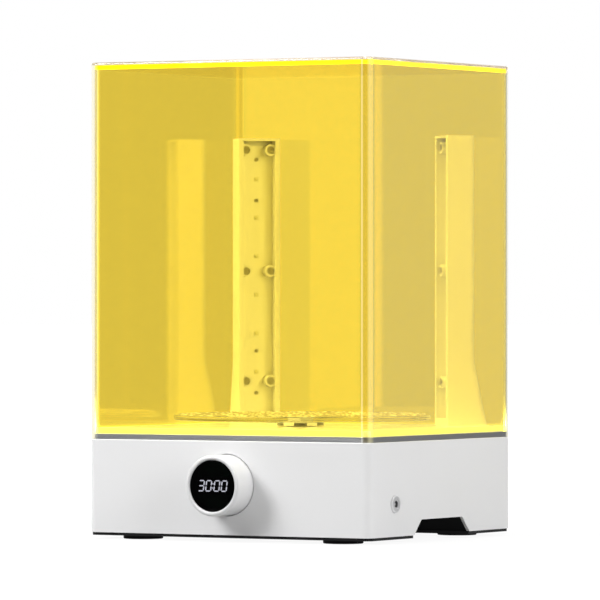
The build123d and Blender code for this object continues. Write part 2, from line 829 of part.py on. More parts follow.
board_seat = carriage_front + display_t + display_board_t + 0.4
with BuildPart() as knob_carriage:
    with BuildSketch(knob_plane(carriage_back)):
        Circle(carriage_d / 2)
    extrude(amount=carriage_l)
    with BuildSketch(knob_plane(carriage_back - carriage_web)):
        Circle(carriage_in_d / 2)
    extrude(amount=carriage_l - carriage_web, mode=Mode.SUBTRACT)
    # ledge that carries the display board
    with BuildSketch(knob_plane(board_seat + carriage_web)):
        Circle(carriage_in_d / 2)
        Rectangle(display_size[0], display_size[1], mode=Mode.SUBTRACT)
    extrude(amount=carriage_web)
    # square stem that keeps the carriage from turning
    with BuildSketch(knob_plane(stem_back)):
        Rectangle(stem_side, stem_side)
    extrude(amount=stem_l)
    with BuildSketch(knob_plane(stem_back - carriage_web)):
        Rectangle(stem_hollow, stem_hollow)
    extrude(amount=stem_l, mode=Mode.SUBTRACT)
    # groove for the retaining clip
    with BuildSketch(knob_plane(clip_front + clip_t)):
        Circle(carriage_d / 2 + 1)
        Circle(carriage_d / 2 - clip_groove, mode=Mode.SUBTRACT)
    extrude(amount=clip_t, mode=Mode.SUBTRACT)
finish(knob_carriage, "knob_carriage")

with BuildPart() as knob_clip:
    with BuildSketch(knob_plane(clip_front + clip_t)):
        Circle(clip_d / 2)
        Circle(carriage_d / 2 - clip_groove, mode=Mode.SUBTRACT)
        with Locations((0, -clip_d / 2)):
            Rectangle(clip_gap, clip_gap, mode=Mode.SUBTRACT)
    extrude(amount=clip_t)
finish(knob_clip, "knob_clip")

with BuildPart() as display_window:
    with BuildSketch(knob_plane(carriage_front)):
        Circle(window_d / 2)
    extrude(amount=carriage_front - window_front)
    fillet(display_window.faces().sort_by(Axis.Y)[0].edges(), radius=0.4)
finish(display_window, "display_window")

module_front = carriage_front + segment_t + 0.1
with BuildPart() as display_board:
    with BuildSketch(knob_plane(board_seat)):
        Circle(display_board_d / 2)
    extrude(amount=display_board_t)
finish(display_board, "display_board")

with BuildPart() as display_module:
    with BuildSketch(knob_plane(board_seat - display_board_t)):
        Rectangle(display_size[0], display_size[1])
    extrude(amount=board_seat - display_board_t - module_front)
finish(display_module, "display_module")

# ---------------------------------------------------------------- display segments
half_h = digit_h / 2
half_digit = digit_w / 2
reach = half_digit - segment_gap
rise = half_h - segment_gap
# each segment's two ends, on an upright digit centred on zero
segment_lines = {
    "a": ((-reach, half_h), (reach, half_h)),
    "b": ((half_digit, rise), (half_digit, segment_gap)),
    "c": ((half_digit, -segment_gap), (half_digit, -rise)),
    "d": ((-reach, -half_h), (reach, -half_h)),
    "e": ((-half_digit, -segment_gap), (-half_digit, -rise)),
    "f": ((-half_digit, rise), (-half_digit, segment_gap)),
    "g": ((-reach, 0), (reach, 0)),
}
lit_segments = {"3": "abcdg", "0": "abcdef"}
reading = "30:00"
digits = reading.replace(":", "")
lean_per_mm = math.tan(math.radians(digit_slant))


def slanted(x, z, centre):
    """A point of a digit, leaned to the right."""
    return (centre + x + z * lean_per_mm, z)


def segment_outline(name, centre):
    """Six corners of one segment: a bar with pointed ends, leaned with its digit."""
    (x0, z0), (x1, z1) = segment_lines[name]
    length = math.hypot(x1 - x0, z1 - z0)
    ux, uz = (x1 - x0) / length, (z1 - z0) / length
    half = segment_w / 2
    corners = [
        (x0, z0),
        (x0 + half * ux - half * uz, z0 + half * uz + half * ux),
        (x1 - half * ux - half * uz, z1 - half * uz + half * ux),
        (x1, z1),
        (x1 - half * ux + half * uz, z1 - half * uz - half * ux),
        (x0 + half * ux + half * uz, z0 + half * uz - half * ux),
    ]
    return [slanted(x, z, centre) for x, z in corners]


digit_centres = [(i - 1.5) * digit_pitch + math.copysign(colon_space / 2, i - 1.5) for i in range(4)]
lit = [(n, c) for mark, c in zip(digits, digit_centres) for n in segment_lines if n in lit_segments[mark]]
unlit = [(n, c) for mark, c in zip(digits, digit_centres) for n in segment_lines if n not in lit_segments[mark]]
colon_places = [slanted(0, z, 0) for z in (-digit_h / 5, digit_h / 5)]
for name, segments, dots in (
    ("display_segments_lit", lit, colon_places),
    ("display_segments_unlit", unlit, []),
):
    with BuildPart() as display_segments:
        with BuildSketch(knob_plane(module_front)):
            for segment, centre in segments:
                with BuildLine():
                    Polyline(*segment_outline(segment, centre), close=True)
                make_face()
            for place in dots:
                with Locations(place):
                    Circle(colon_d / 2)
        extrude(amount=segment_t)
    finish(display_segments, name)

# ---------------------------------------------------------------- knob guide and switch
guide_front = inner_front_y + guide_boss_h
guide_back = guide_front + guide_l
switch_plane_y = stem_back + switch_reach + switch_t

with BuildPart() as knob_guide:
    with BuildSketch(knob_plane(guide_front + guide_t)):
        RectangleRounded(guide_flange_w, guide_flange_w, guide_flange_r)
    extrude(amount=guide_t)
    with BuildSketch(knob_plane(guide_back)):
        Circle(guide_bore_d / 2 + guide_wall)
    extrude(amount=guide_l)
    with BuildSketch(knob_plane(guide_back - guide_t)):
        Circle(guide_bore_d / 2)
    extrude(amount=guide_l, mode=Mode.SUBTRACT)
    with BuildSketch(knob_plane(guide_back)):
        Rectangle(stem_side + 2 * stem_gap, stem_side + 2 * stem_gap)
    extrude(amount=guide_t, mode=Mode.SUBTRACT)
    with BuildSketch(knob_plane(switch_plane_y)):
        with Locations((-switch_post_x, 0), (switch_post_x, 0)):
            Circle(switch_post_r)
    extrude(amount=switch_plane_y - guide_back)
    guide_rear = Plane(origin=(0, guide_front + guide_t, knob_z), x_dir=(1, 0, 0), z_dir=(0, 1, 0))
    cut_holes(guide_rear, guide_boss_places, guide_screw[2] + 2 * slip, guide_t)
    switch_rear = Plane(origin=(0, switch_plane_y, knob_z), x_dir=(1, 0, 0), z_dir=(0, 1, 0))
    cut_holes(
        switch_rear, [(-switch_post_x, 0), (switch_post_x, 0)], switch_screw[2] + 2 * slip, switch_screw[3]
    )
finish(knob_guide, "knob_guide")

with BuildPart() as knob_guide_screws:
    add_screws(guide_rear, guide_boss_places, guide_screw)
finish(knob_guide_screws, "knob_guide_screws")

with BuildPart() as switch_board:
    with BuildSketch(knob_plane(switch_plane_y + switch_board_t)):
        Rectangle(switch_board_size[0], switch_board_size[1])
        with Locations((-switch_post_x, 0), (switch_post_x, 0)):
            Circle(switch_screw[2] / 2 + slip, mode=Mode.SUBTRACT)
    extrude(amount=switch_board_t)
finish(switch_board, "switch_board")

with BuildPart() as switch_board_screws:
    switch_board_rear = Plane(
        origin=(0, switch_plane_y + switch_board_t, knob_z), x_dir=(1, 0, 0), z_dir=(0, 1, 0)
    )
    add_screws(switch_board_rear, [(-switch_post_x, 0), (switch_post_x, 0)], switch_screw)
finish(switch_board_screws, "switch_board_screws")

with BuildPart() as push_switch:
    with BuildSketch(knob_plane(switch_plane_y)):
        Rectangle(switch_side, switch_side)
    extrude(amount=switch_t)
    cut_holes(knob_plane(switch_plane_y - switch_t), [(0, 0)], plunger_d + 2 * running, plunger_l)
finish(push_switch, "push_switch")

with BuildPart() as switch_plunger:
    with BuildSketch(knob_plane(stem_back + plunger_l)):
        Circle(plunger_d / 2)
    extrude(amount=plunger_l)
finish(switch_plunger, "switch_plunger")

with BuildPart() as encoder_reader:
    with BuildSketch(knob_plane(guide_front)):
        with Locations((0, (knob_d + reader_size[1]) / 2 + 2 * seat_gap)):
            Rectangle(reader_size[0], reader_size[1])
    extrude(amount=reader_size[2])
finish(encoder_reader, "encoder_reader")

# ---------------------------------------------------------------- power inlet
jack_thread_end = half_w - jack_thread_l
with BuildPart() as jack_body:
    with BuildSketch(side_plane(half_w, jack_y, jack_z)):
        Circle(jack_flange_d / 2)
    extrude(amount=jack_flange_t)
    chamfer(jack_body.edges().group_by(Axis.X)[-1], length=0.7)
    with BuildSketch(side_plane(half_w, jack_y, jack_z)):
        Circle(jack_thread_d / 2)
    extrude(amount=-jack_thread_l)
    with BuildSketch(side_plane(jack_thread_end, jack_y, jack_z)):
        RectangleRounded(jack_block, jack_block, 1.0)
    extrude(amount=-jack_block_l)
    jack_mouth = side_plane(half_w + jack_flange_t, jack_y, jack_z)
    cut_holes(jack_mouth, [(0, 0)], jack_ring_d, jack_ring_depth)
    cut_holes(jack_mouth, [(0, 0)], jack_bore_d, jack_bore_l)
    with BuildSketch(side_plane(half_w + jack_flange_t - jack_bore_l, jack_y, jack_z)):
        Circle(jack_pin_d / 2)
    extrude(amount=jack_pin_l)
finish(jack_body, "jack_body")

with BuildPart() as jack_nut:
    with BuildSketch(side_plane(half_w - housing_wall, jack_y, jack_z)):
        RegularPolygon(jack_nut_flats / 2, 6, major_radius=False)
        Circle(jack_thread_d / 2 + slip, mode=Mode.SUBTRACT)
    extrude(amount=-jack_nut_t)
finish(jack_nut, "jack_nut")

# ---------------------------------------------------------------- control board
pcb_z = housing_z + standoff_h
with BuildPart() as board_standoffs:
    with BuildSketch(Plane.XY.offset(housing_z)):
        with Locations(*pcb_places):
            RegularPolygon(standoff_flats / 2, 6, major_radius=False)
            Circle(pcb_screw[2] / 2 + slip, mode=Mode.SUBTRACT)
    extrude(amount=standoff_h)
finish(board_standoffs, "board_standoffs")

with BuildPart() as control_board:
    with BuildSketch(Plane.XY.offset(pcb_z)):
        with Locations((pcb_x, pcb_y)):
            RectangleRounded(pcb_w, pcb_d, pcb_corner_r)
        with Locations(*pcb_places):
            Circle(pcb_screw[2] / 2 + slip, mode=Mode.SUBTRACT)
    extrude(amount=pcb_t)
finish(control_board, "control_board")

with BuildPart() as control_board_screws:
    add_screws(Plane.XY.offset(pcb_z + pcb_t), pcb_places, pcb_screw)
finish(control_board_screws, "control_board_screws")

# seen from above, relative to the board's middle: x, y, width, depth, height
board_blocks = {
    "processor": (4.0, 4.0, 10.0, 10.0, 1.4),
    "driver_left": (-14.0, 24.0, 6.0, 8.0, 1.8),
    "driver_right": (2.0, 24.0, 6.0, 8.0, 1.8),
    "coil": (-14.0, -16.0, 12.0, 12.0, 6.5),
    "lamp_plugs": (-8.0, 36.0, 20.0, 6.0, 7.0),
    "motor_plug": (26.0, 10.0, 6.0, 8.0, 7.0),
    "power_plug": (2.0, -37.0, 8.0, 6.0, 7.0),
    "knob_plug": (14.0, -37.0, 8.0, 6.0, 7.0),
}
# seen from above, relative to the board's middle: x, y, radius, height
board_cans = {"input": (10.0, -24.0, 5.0, 16.0), "output": (-14.0, 4.0, 4.0, 12.0)}
with BuildPart() as board_components:
    for x, y, w, d, h in board_blocks.values():
        with BuildSketch(Plane.XY.offset(pcb_z + pcb_t)):
            with Locations((pcb_x + x, pcb_y + y)):
                Rectangle(w, d)
        extrude(amount=h)
    for x, y, r, h in board_cans.values():
        with BuildSketch(Plane.XY.offset(pcb_z + pcb_t)):
            with Locations((pcb_x + x, pcb_y + y)):
                Circle(r)
        extrude(amount=h)
finish(board_components, "board_components")

# ---------------------------------------------------------------- leads
def plug_point(name, across, towards, up):
    """A point on a plug of the control board, in shares of its half width, half depth and height."""
    x, y, w, d, h = board_blocks[name]
    return (pcb_x + x + across * w / 2, pcb_y + y + towards * d / 2, pcb_z + pcb_t + up * h)


def lamp_lead_start(side):
    """The way out of the back of a lamp board and down through the foot of its post."""
    across = duct_x * side
    back = post_plane(side).from_local_coords(Vector(across, channel_depth, lamp_lead_h))
    turn = post_plane(side).from_local_coords(Vector(across, duct_y, lamp_lead_h))
    return [tuple(back), tuple(turn)]


plug_side = 0.6
x_left, y_duct = duct_places[0]
x_right = duct_places[1][0]
lamp_end_left = plug_point("lamp_plugs", -plug_side, 0, 1)
lamp_end_right = plug_point("lamp_plugs", plug_side, 0, 1)
motor_end = plug_point("motor_plug", 1, 0, 0.5)
power_end = plug_point("power_plug", 0, -1, 0.5)
knob_end = plug_point("knob_plug", 0, -1, 0.5)
motor_low = gearbox_top - gearbox_l - motor_l
jack_rear = jack_thread_end - jack_block_l
switch_rear_y = switch_plane_y + switch_board_t
lead_routes = [
    (
        lamp_lead_start(-1)
        + [
            (x_left, y_duct, lead_low_z),
            (lamp_end_left[0], lamp_end_left[1], lead_low_z),
            lamp_end_left,
        ],
        [2.4, 16.0, 3.2],
    ),
    (
        lamp_lead_start(1)
        + [
            (x_right, y_duct, lead_high_z),
            (x_right - 24.0, y_duct - 10.0, lead_high_z),
            (lamp_end_right[0], lamp_end_right[1], lead_high_z),
            lamp_end_right,
        ],
        [2.4, 12.0, 20.0, 8.0],
    ),
    (
        [
            (7.0, 4.0, motor_low),
            (7.0, 4.0, motor_low - 6.0),
            (7.0, motor_end[1], motor_end[2]),
            motor_end,
        ],
        [4.5, 9.0],
    ),
    (
        [
            (jack_rear, jack_y, jack_z),
            (jack_rear - 26.0, jack_y, jack_z),
            (power_end[0], power_end[1] - 52.0, power_end[2]),
            power_end,
        ],
        [60.0, 24.0],
    ),
    (
        [
            (6.0, switch_rear_y, knob_z - 5.0),
            (6.0, switch_rear_y + 16.0, knob_z - 5.0),
            (knob_end[0], knob_end[1] - 32.0, knob_end[2]),
            knob_end,
        ],
        [10.0, 20.0],
    ),
]
with BuildPart() as leads:
    for points, radii in lead_routes:
        with BuildLine() as route:
            FilletPolyline(*points, radius=radii)
        with BuildSketch(Plane(origin=route.line @ 0, z_dir=route.line % 0)):
            Circle(lead_d / 2)
        sweep(path=route.line)
finish(leads, "leads")

with BuildPart() as hood_sensor:
    with BuildSketch(Plane.XY.offset(ceiling_z - sensor_size[2])):
        with Locations((0, half_d - housing_wall - sensor_size[1] / 2)):
            Rectangle(sensor_size[0], sensor_size[1])
    extrude(amount=sensor_size[2])
finish(hood_sensor, "hood_sensor")

# ---------------------------------------------------------------- hood
magnet_z = ledge_z + magnet_h
magnet_face = Plane(origin=(0, skin_in_d / 2, magnet_z), x_dir=(1, 0, 0), z_dir=(0, -1, 0))
magnet_pocket = magnet_t + 2 * running

with BuildPart() as hood_shell:
    with BuildSketch(Plane.XY.offset(ledge_z)):
        RectangleRounded(base_w, base_d, corner_r)
    extrude(amount=hood_h)
    fillet(hood_shell.edges().group_by(Axis.Z)[-1], radius=hood_edge_r)
    with BuildSketch(Plane.XY.offset(ledge_z)):
        RectangleRounded(skin_in_w, skin_in_d, skin_in_r)
    extrude(amount=hood_h - skin_t, mode=Mode.SUBTRACT)
    with BuildSketch(magnet_face):
        Circle(magnet_d / 2 + slip)
    extrude(amount=-magnet_pocket, mode=Mode.SUBTRACT)
finish(hood_shell, "hood_shell")

with BuildPart() as hood_magnet:
    with BuildSketch(magnet_face.offset(-magnet_pocket)):
        Circle(magnet_d / 2)
    extrude(amount=magnet_t)
finish(hood_magnet, "hood_magnet")

with BuildPart() as hood_filter_walls:
    with BuildSketch(Plane.XY.offset(rim_z + liner_lift)):
        RectangleRounded(liner_w, liner_d, liner_r)
        RectangleRounded(liner_in_w, liner_in_d, liner_in_r, mode=Mode.SUBTRACT)
    extrude(amount=liner_under_z - rim_z - liner_lift)
finish(hood_filter_walls, "hood_filter_walls")

with BuildPart() as hood_filter_top:
    with BuildSketch(Plane.XY.offset(liner_under_z)):
        RectangleRounded(liner_w, liner_d, liner_r)
    extrude(amount=liner_top_t)
finish(hood_filter_top, "hood_filter_top")
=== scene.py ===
"""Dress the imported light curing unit: finishes for its parts, the fine pieces on them, and a plain studio."""

import math

import bmesh
import bpy
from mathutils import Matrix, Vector


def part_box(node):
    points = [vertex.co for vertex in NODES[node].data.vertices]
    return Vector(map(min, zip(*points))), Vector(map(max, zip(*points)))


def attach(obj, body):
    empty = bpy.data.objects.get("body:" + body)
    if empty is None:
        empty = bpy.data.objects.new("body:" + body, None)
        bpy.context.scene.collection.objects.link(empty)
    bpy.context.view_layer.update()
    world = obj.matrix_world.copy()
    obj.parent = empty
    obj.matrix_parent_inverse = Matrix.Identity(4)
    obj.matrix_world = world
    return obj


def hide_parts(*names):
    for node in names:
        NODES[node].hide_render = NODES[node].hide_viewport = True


bl_info = {
    "name": "Light Curing Unit",
    "version": (1, 0, 0),
    "blender": (4, 5, 0),
    "location": "View3D > Sidebar > Curing Unit",
    "description": "Finishes and fine pieces for a bench-top light curing unit",
    "category": "Object",
}

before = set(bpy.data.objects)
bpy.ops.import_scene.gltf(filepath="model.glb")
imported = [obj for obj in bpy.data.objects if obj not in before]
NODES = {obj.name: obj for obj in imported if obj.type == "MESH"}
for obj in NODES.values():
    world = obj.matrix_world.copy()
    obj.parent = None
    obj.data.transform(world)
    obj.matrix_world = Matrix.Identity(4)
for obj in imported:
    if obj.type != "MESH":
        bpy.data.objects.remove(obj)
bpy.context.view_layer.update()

WHITE = (1.0, 1.0, 1.0, 1.0)
BLACK = (0.0, 0.0, 0.0, 1.0)

# Facets in the round parts of the fine meshes
CORNER_STEPS = 32
EDGE_STEPS = 12
POCKET_STEPS = 32

# What a lamp's light keeps at one face of each sheet
AMBER_LAMP_TINT = (1.0, 0.97, 0.76, 1.0)
CLEAR_LAMP_TINT = (0.985, 0.985, 0.985, 1.0)
DISC_LAMP_TINT = (0.96, 0.96, 0.96, 1.0)
DOT_LAMP_TINT = (0.9, 0.9, 0.88, 1.0)

# Room round the magnet in its pocket
POCKET_CLEARANCE = 0.0001

# Heights between which the painted glow at the lining's lower edge fades out
PAINTED_FOOT_GLOW_FADE = (0.004, 0.007)

# A ray passes the four faces of the hood's two sheets on its way in and again on its way out
FACES_IN_AND_OUT = 8

# Light passes and mirrors between the hood's sheets many times
BOUNCES = {
    "max_bounces": 200,
    "transmission_bounces": 64,
    "glossy_bounces": 200,
    "diffuse_bounces": 5,
    "transparent_max_bounces": 64,
}

# Name, place, what it aims at, size, setting for its power, whether smooth surfaces mirror it
LAMPS = (
    ("left_lamp", (-1.5, -1.6, 1.7), (0.0, 0.0, 0.12), 1.6, "left_power", True),
    ("right_lamp", (2.6, -0.6, 0.9), (0.0, 0.0, 0.12), 1.4, "right_power", False),
    ("top_lamp", (0.0, -0.1, 2.4), (0.0, 0.0, 0.1), 1.6, "top_power", True),
    ("back_lamp", (-0.9, 2.5, 1.4), (0.0, 0.0, 0.2), 1.6, "back_power", False),
)

# A lamp fades out between these shares of its size from its middle, and the gain makes up for it
LAMP_FADE = (0.25, 0.5)
FADE_GAIN = 2.2

FLOOR_RADIUS = 30.0
FLOOR_SIDES = 64
# Just under the feet, so that their faces and the floor's don't share a plane
FLOOR_LEVEL = -0.0001
FLOOR_WHITE = 1.16
# How far out the floor's shadows fade to plain white, and its image in the panes to the room's
SHADOW_FADE = (0.4, 1.2)
ROOM_FADE = (0.5, 0.9)

# Level directions from the unit
BACK_RIGHT = (0.5, 0.866, 0.0)
FRONT_LEFT = (-0.5, -0.866, 0.0)
FRONT_RIGHT = (0.866, -0.5, 0.0)
VIEWER = (0.17, -0.98, 0.0)
UP = (0.0, 0.0, 1.0)

# The card's distance, its two ends towards the front right, and its lower and upper edges
CARD_DISTANCE = 0.5
CARD_SIDES = (-0.24, -0.062)
CARD_HEIGHTS = (0.02, 0.43)

CAMERA_PLACE = (2.4203, -4.1943, 0.2049)
# In degrees
CAMERA_TURN = (90.0, 0.0, 30.0)
CAMERA_LENS = 347.4
CAMERA_SENSOR = 36.0
CAMERA_SHIFT = -8.5 / 600.0
CAMERA_REACH = 100.0


# -------------------- node helpers
def shader_group(name, inputs, outputs):
    """An empty shader group with named sockets: (name, socket type, default) in, (name, socket type) out."""
    tree = bpy.data.node_groups.new(name, "ShaderNodeTree")
    for label, kind, default in inputs:
        socket = tree.interface.new_socket(name=label, in_out="INPUT", socket_type=kind)
        socket.default_value = default
    for label, kind in outputs:
        tree.interface.new_socket(name=label, in_out="OUTPUT", socket_type=kind)
    return tree, tree.nodes.new("NodeGroupInput"), tree.nodes.new("NodeGroupOutput")


def add(tree, kind, **settings):
    """A node of this kind, with its own settings."""
    node = tree.nodes.new(kind)
    for key, value in settings.items():
        setattr(node, key, value)
    return node


def feed(tree, socket, value):
    """Give an input a value, or the output of another node."""
    if isinstance(value, bpy.types.NodeSocket):
        tree.links.new(value, socket)
    else:
        socket.default_value = value


def noise(tree, vector, scale, detail=3.0, roughness=0.5):
    """A noise texture on the given coordinates."""
    node = add(tree, "ShaderNodeTexNoise")
    for label, value in (("Vector", vector), ("Scale", scale), ("Detail", detail), ("Roughness", roughness)):
        feed(tree, node.inputs[label], value)
    return node.outputs["Fac"]


def maths(tree, operation, *values):
    """A maths node on sockets or numbers."""
    node = add(tree, "ShaderNodeMath", operation=operation)
    for socket, value in zip(node.inputs, values):
        feed(tree, socket, value)
    return node.outputs["Value"]


def spread(tree, value, low, high, from_low=0.0, from_high=1.0):
    """A value taken from one range to another; low and high are sockets or numbers."""
    node = add(tree, "ShaderNodeMapRange")
    feed(tree, node.inputs["Value"], value)
    for label, end in (("From Min", from_low), ("From Max", from_high), ("To Min", low), ("To Max", high)):
        feed(tree, node.inputs[label], end)
    return node.outputs["Result"]


def mix_colour(tree, factor, a, b):
    """Colour a where factor is 0 and b where it is 1; a and b are sockets or colours."""
    node = add(tree, "ShaderNodeMix", data_type="RGBA")
    for index, value in ((0, factor), (6, a), (7, b)):
        feed(tree, node.inputs[index], value)
    return node.outputs[2]


def axes_of(tree, coordinates):
    """The X, Y and Z of one of a piece's own coordinates, such as Object or Normal."""
    parts = add(tree, "ShaderNodeSeparateXYZ")
    tree.links.new(add(tree, "ShaderNodeTexCoord").outputs[coordinates], parts.inputs["Vector"])
    return parts.outputs


def heading_along(tree, direction, axis):
    """How nearly a direction points along an axis."""
    heading = add(tree, "ShaderNodeVectorMath", operation="DOT_PRODUCT")
    tree.links.new(direction, heading.inputs[0])
    heading.inputs[1].default_value = axis
    return heading.outputs["Value"]


def mix_surface(tree, share, first, second):
    """Show the first shader, and the second one by this share."""
    mixer = add(tree, "ShaderNodeMixShader")
    tree.links.new(share, mixer.inputs["Fac"])
    tree.links.new(first, mixer.inputs[1])
    tree.links.new(second, mixer.inputs[2])
    tree.links.new(mixer.outputs["Shader"], tree.nodes["Material Output"].inputs["Surface"])


def ray_kinds(tree):
    """The light path, whether a ray was mirrored, and whether it only came straight through."""
    path = add(tree, "ShaderNodeLightPath")
    mirrored = maths(tree, "GREATER_THAN", path.outputs["Glossy Depth"], 0.5)
    straight = maths(tree, "MULTIPLY", path.outputs["Is Transmission Ray"], maths(tree, "SUBTRACT", 1.0, mirrored))
    return path, mirrored, straight


def rgba(colour, factor=1.0):
    """A colour, made this much brighter, as a socket takes it."""
    return (colour[0] * factor, colour[1] * factor, colour[2] * factor, 1.0)


# -------------------- shared effects
def wander(tree, entry, out, mark):
    """Vary a group's roughness by a mark, as far as its Wander input says."""
    middle, reach = entry.outputs["Roughness"], entry.outputs["Wander"]
    low, high = maths(tree, "SUBTRACT", middle, reach), maths(tree, "ADD", middle, reach)
    tree.links.new(spread(tree, mark, low, high, 0.3, 0.7), out.inputs["Roughness"])


def build_grain_group():
    """Fine moulded texture: a height and a roughness that wander a little."""
    tree, entry, out = shader_group(
        "moulded_grain",
        (
            ("Scale", "NodeSocketFloat", 900.0),
            ("Roughness", "NodeSocketFloat", 0.4),
            ("Wander", "NodeSocketFloat", 0.06),
        ),
        (("Height", "NodeSocketFloat"), ("Roughness", "NodeSocketFloat")),
    )
    place = add(tree, "ShaderNodeTexCoord").outputs["Object"]
    fine = noise(tree, place, entry.outputs["Scale"], detail=2.0)
    broad = noise(tree, place, 14.0, detail=4.0)
    tree.links.new(fine, out.inputs["Height"])
    wander(tree, entry, out, broad)
    return tree


def build_tone_group():
    """A colour that varies very slightly over a large piece, as moulded and painted ones do."""
    tree, entry, out = shader_group(
        "soft_tone",
        (
            ("Colour", "NodeSocketColor", WHITE),
            ("Second Colour", "NodeSocketColor", WHITE),
            ("Scale", "NodeSocketFloat", 9.0),
        ),
        (("Colour", "NodeSocketColor"),),
    )
    place = add(tree, "ShaderNodeTexCoord").outputs["Object"]
    cloud = spread(tree, noise(tree, place, entry.outputs["Scale"], detail=3.0), 0.0, 1.0, 0.35, 0.65)
    tree.links.new(
        mix_colour(tree, cloud, entry.outputs["Colour"], entry.outputs["Second Colour"]), out.inputs["Colour"]
    )
    return tree


def build_brushed_group():
    """Fine lines along one axis, for drawn and brushed metal."""
    tree, entry, out = shader_group(
        "brushed_lines",
        (
            ("Stretch", "NodeSocketVector", (6.0, 6.0, 900.0)),
            ("Roughness", "NodeSocketFloat", 0.3),
            ("Wander", "NodeSocketFloat", 0.08),
        ),
        (("Height", "NodeSocketFloat"), ("Roughness", "NodeSocketFloat"), ("Line", "NodeSocketFloat")),
    )
    place = add(tree, "ShaderNodeTexCoord").outputs["Object"]
    stretched = add(tree, "ShaderNodeVectorMath", operation="MULTIPLY")
    tree.links.new(place, stretched.inputs[0])
    tree.links.new(entry.outputs["Stretch"], stretched.inputs[1])
    line = noise(tree, stretched.outputs["Vector"], 1.0, detail=2.0)
    tree.links.new(line, out.inputs["Height"])
    tree.links.new(line, out.inputs["Line"])
    wander(tree, entry, out, line)
    return tree


def build_smudge_group():
    """Faint wiping marks on a glossy sheet: a roughness that rises a little in soft streaks."""
    tree, entry, out = shader_group(
        "wiping_marks",
        (("Clean", "NodeSocketFloat", 0.01), ("Marked", "NodeSocketFloat", 0.05)),
        (("Roughness", "NodeSocketFloat"),),
    )
    place = add(tree, "ShaderNodeTexCoord").outputs["Object"]
    streak = add(tree, "ShaderNodeMapping")
    streak.inputs["Rotation"].default_value = (0.3, 0.5, 0.2)
    streak.inputs["Scale"].default_value = (7.0, 7.0, 2.2)
    tree.links.new(place, streak.inputs["Vector"])
    mark = noise(tree, streak.outputs["Vector"], 2.0, detail=5.0, roughness=0.6)
    tree.links.new(
        spread(tree, mark, entry.outputs["Clean"], entry.outputs["Marked"], 0.5, 0.8), out.inputs["Roughness"]
    )
    return tree


def room_level(tree, direction, open_share, look):
    """How bright the room is that the panes mirror: dim at eye level to the back right, front left and front."""
    # Each side dims between two cosines of the angle to its direction
    diagonal = heading_along(tree, direction, BACK_RIGHT)
    back = spread(tree, diagonal, look.room, look.room_back, 0.6, 0.9)
    front = spread(tree, diagonal, look.room_front, look.room, -0.97, -0.85)
    viewer = spread(tree, heading_along(tree, direction, VIEWER), look.room, look.room_viewer, 0.56, 0.8)
    dim = maths(tree, "MINIMUM", maths(tree, "MINIMUM", back, front), viewer)
    return spread(tree, open_share, dim, look.room)


GROUPS = {}


def effect(tree, name, **values):
    """A shared effect placed in a material, with its own values."""
    node = add(tree, "ShaderNodeGroup", node_tree=GROUPS[name])
    for label, value in values.items():
        node.inputs[label.replace("_", " ")].default_value = value
    return node


# -------------------- finishes
def finish_of(name, **values):
    """A material with a Principled shader, with these values on its own sockets."""
    material = bpy.data.materials.new(name)
    material.use_nodes = True
    shader = material.node_tree.nodes["Principled BSDF"]
    for label, value in values.items():
        shader.inputs[label.replace("_", " ")].default_value = value
    return material, material.node_tree, shader


def bump_from(tree, shader, height, strength, distance):
    """Raise the surface a little by a height."""
    bump = add(tree, "ShaderNodeBump")
    bump.inputs["Strength"].default_value = strength
    bump.inputs["Distance"].default_value = distance
    tree.links.new(height, bump.inputs["Height"])
    tree.links.new(bump.outputs["Normal"], shader.inputs["Normal"])


def moulded_finish(name, colour, second, roughness, grain_scale=900.0, grain_depth=0.00004, **values):
    """Moulded plastic or rubber, or paint: soft tone, fine grain and a wandering gloss."""
    material, tree, shader = finish_of(name, **values)
    tone = effect(tree, "soft_tone", Colour=rgba(colour), Second_Colour=rgba(second))
    grain = effect(tree, "moulded_grain", Scale=grain_scale, Roughness=roughness, Wander=0.05)
    tree.links.new(tone.outputs["Colour"], shader.inputs["Base Color"])
    tree.links.new(grain.outputs["Roughness"], shader.inputs["Roughness"])
    bump_from(tree, shader, grain.outputs["Height"], 0.35, grain_depth)
    return material


def metal_finish(name, colour, second, roughness, stretch, **values):
    """Bare or plated metal with fine lines along one axis."""
    material, tree, shader = finish_of(name, Metallic=1.0, **values)
    lines = effect(tree, "brushed_lines", Stretch=stretch, Roughness=roughness, Wander=0.07)
    tone = mix_colour(tree, lines.outputs["Line"], rgba(colour), rgba(second))
    tree.links.new(tone, shader.inputs["Base Color"])
    tree.links.new(lines.outputs["Roughness"], shader.inputs["Roughness"])
    bump_from(tree, shader, lines.outputs["Height"], 0.25, 0.00003)
    return material


def let_lamps_through(tree, shader, tint):
    """Glass that lets lamps shine through it, tinted, as a thin sheet does."""
    through = add(tree, "ShaderNodeBsdfTransparent")
    through.inputs["Color"].default_value = tint
    is_shadow = add(tree, "ShaderNodeLightPath").outputs["Is Shadow Ray"]
    mix_surface(tree, is_shadow, shader.outputs["BSDF"], through.outputs["BSDF"])


def sheet_finish(name, colour, lamp_tint, **values):
    """Cast acrylic sheet: clear or tinted glass with faint wiping marks."""
    settings = {"Transmission_Weight": 1.0, "IOR": 1.49, "Base_Color": colour}
    settings.update(values)
    material, tree, shader = finish_of(name, **settings)
    marks = effect(tree, "wiping_marks", Clean=0.0, Marked=0.02)
    tree.links.new(marks.outputs["Roughness"], shader.inputs["Roughness"])
    let_lamps_through(tree, shader, lamp_tint)
    return material, tree, shader


def dress(material, *nodes):
    """Give CAD nodes a finish."""
    for node in nodes:
        for slot in NODES[node].material_slots:
            slot.material = material


def placed(name, data):
    """An object with this data, in the scene."""
    piece = bpy.data.objects.new(name, data)
    bpy.context.scene.collection.objects.link(piece)
    return piece


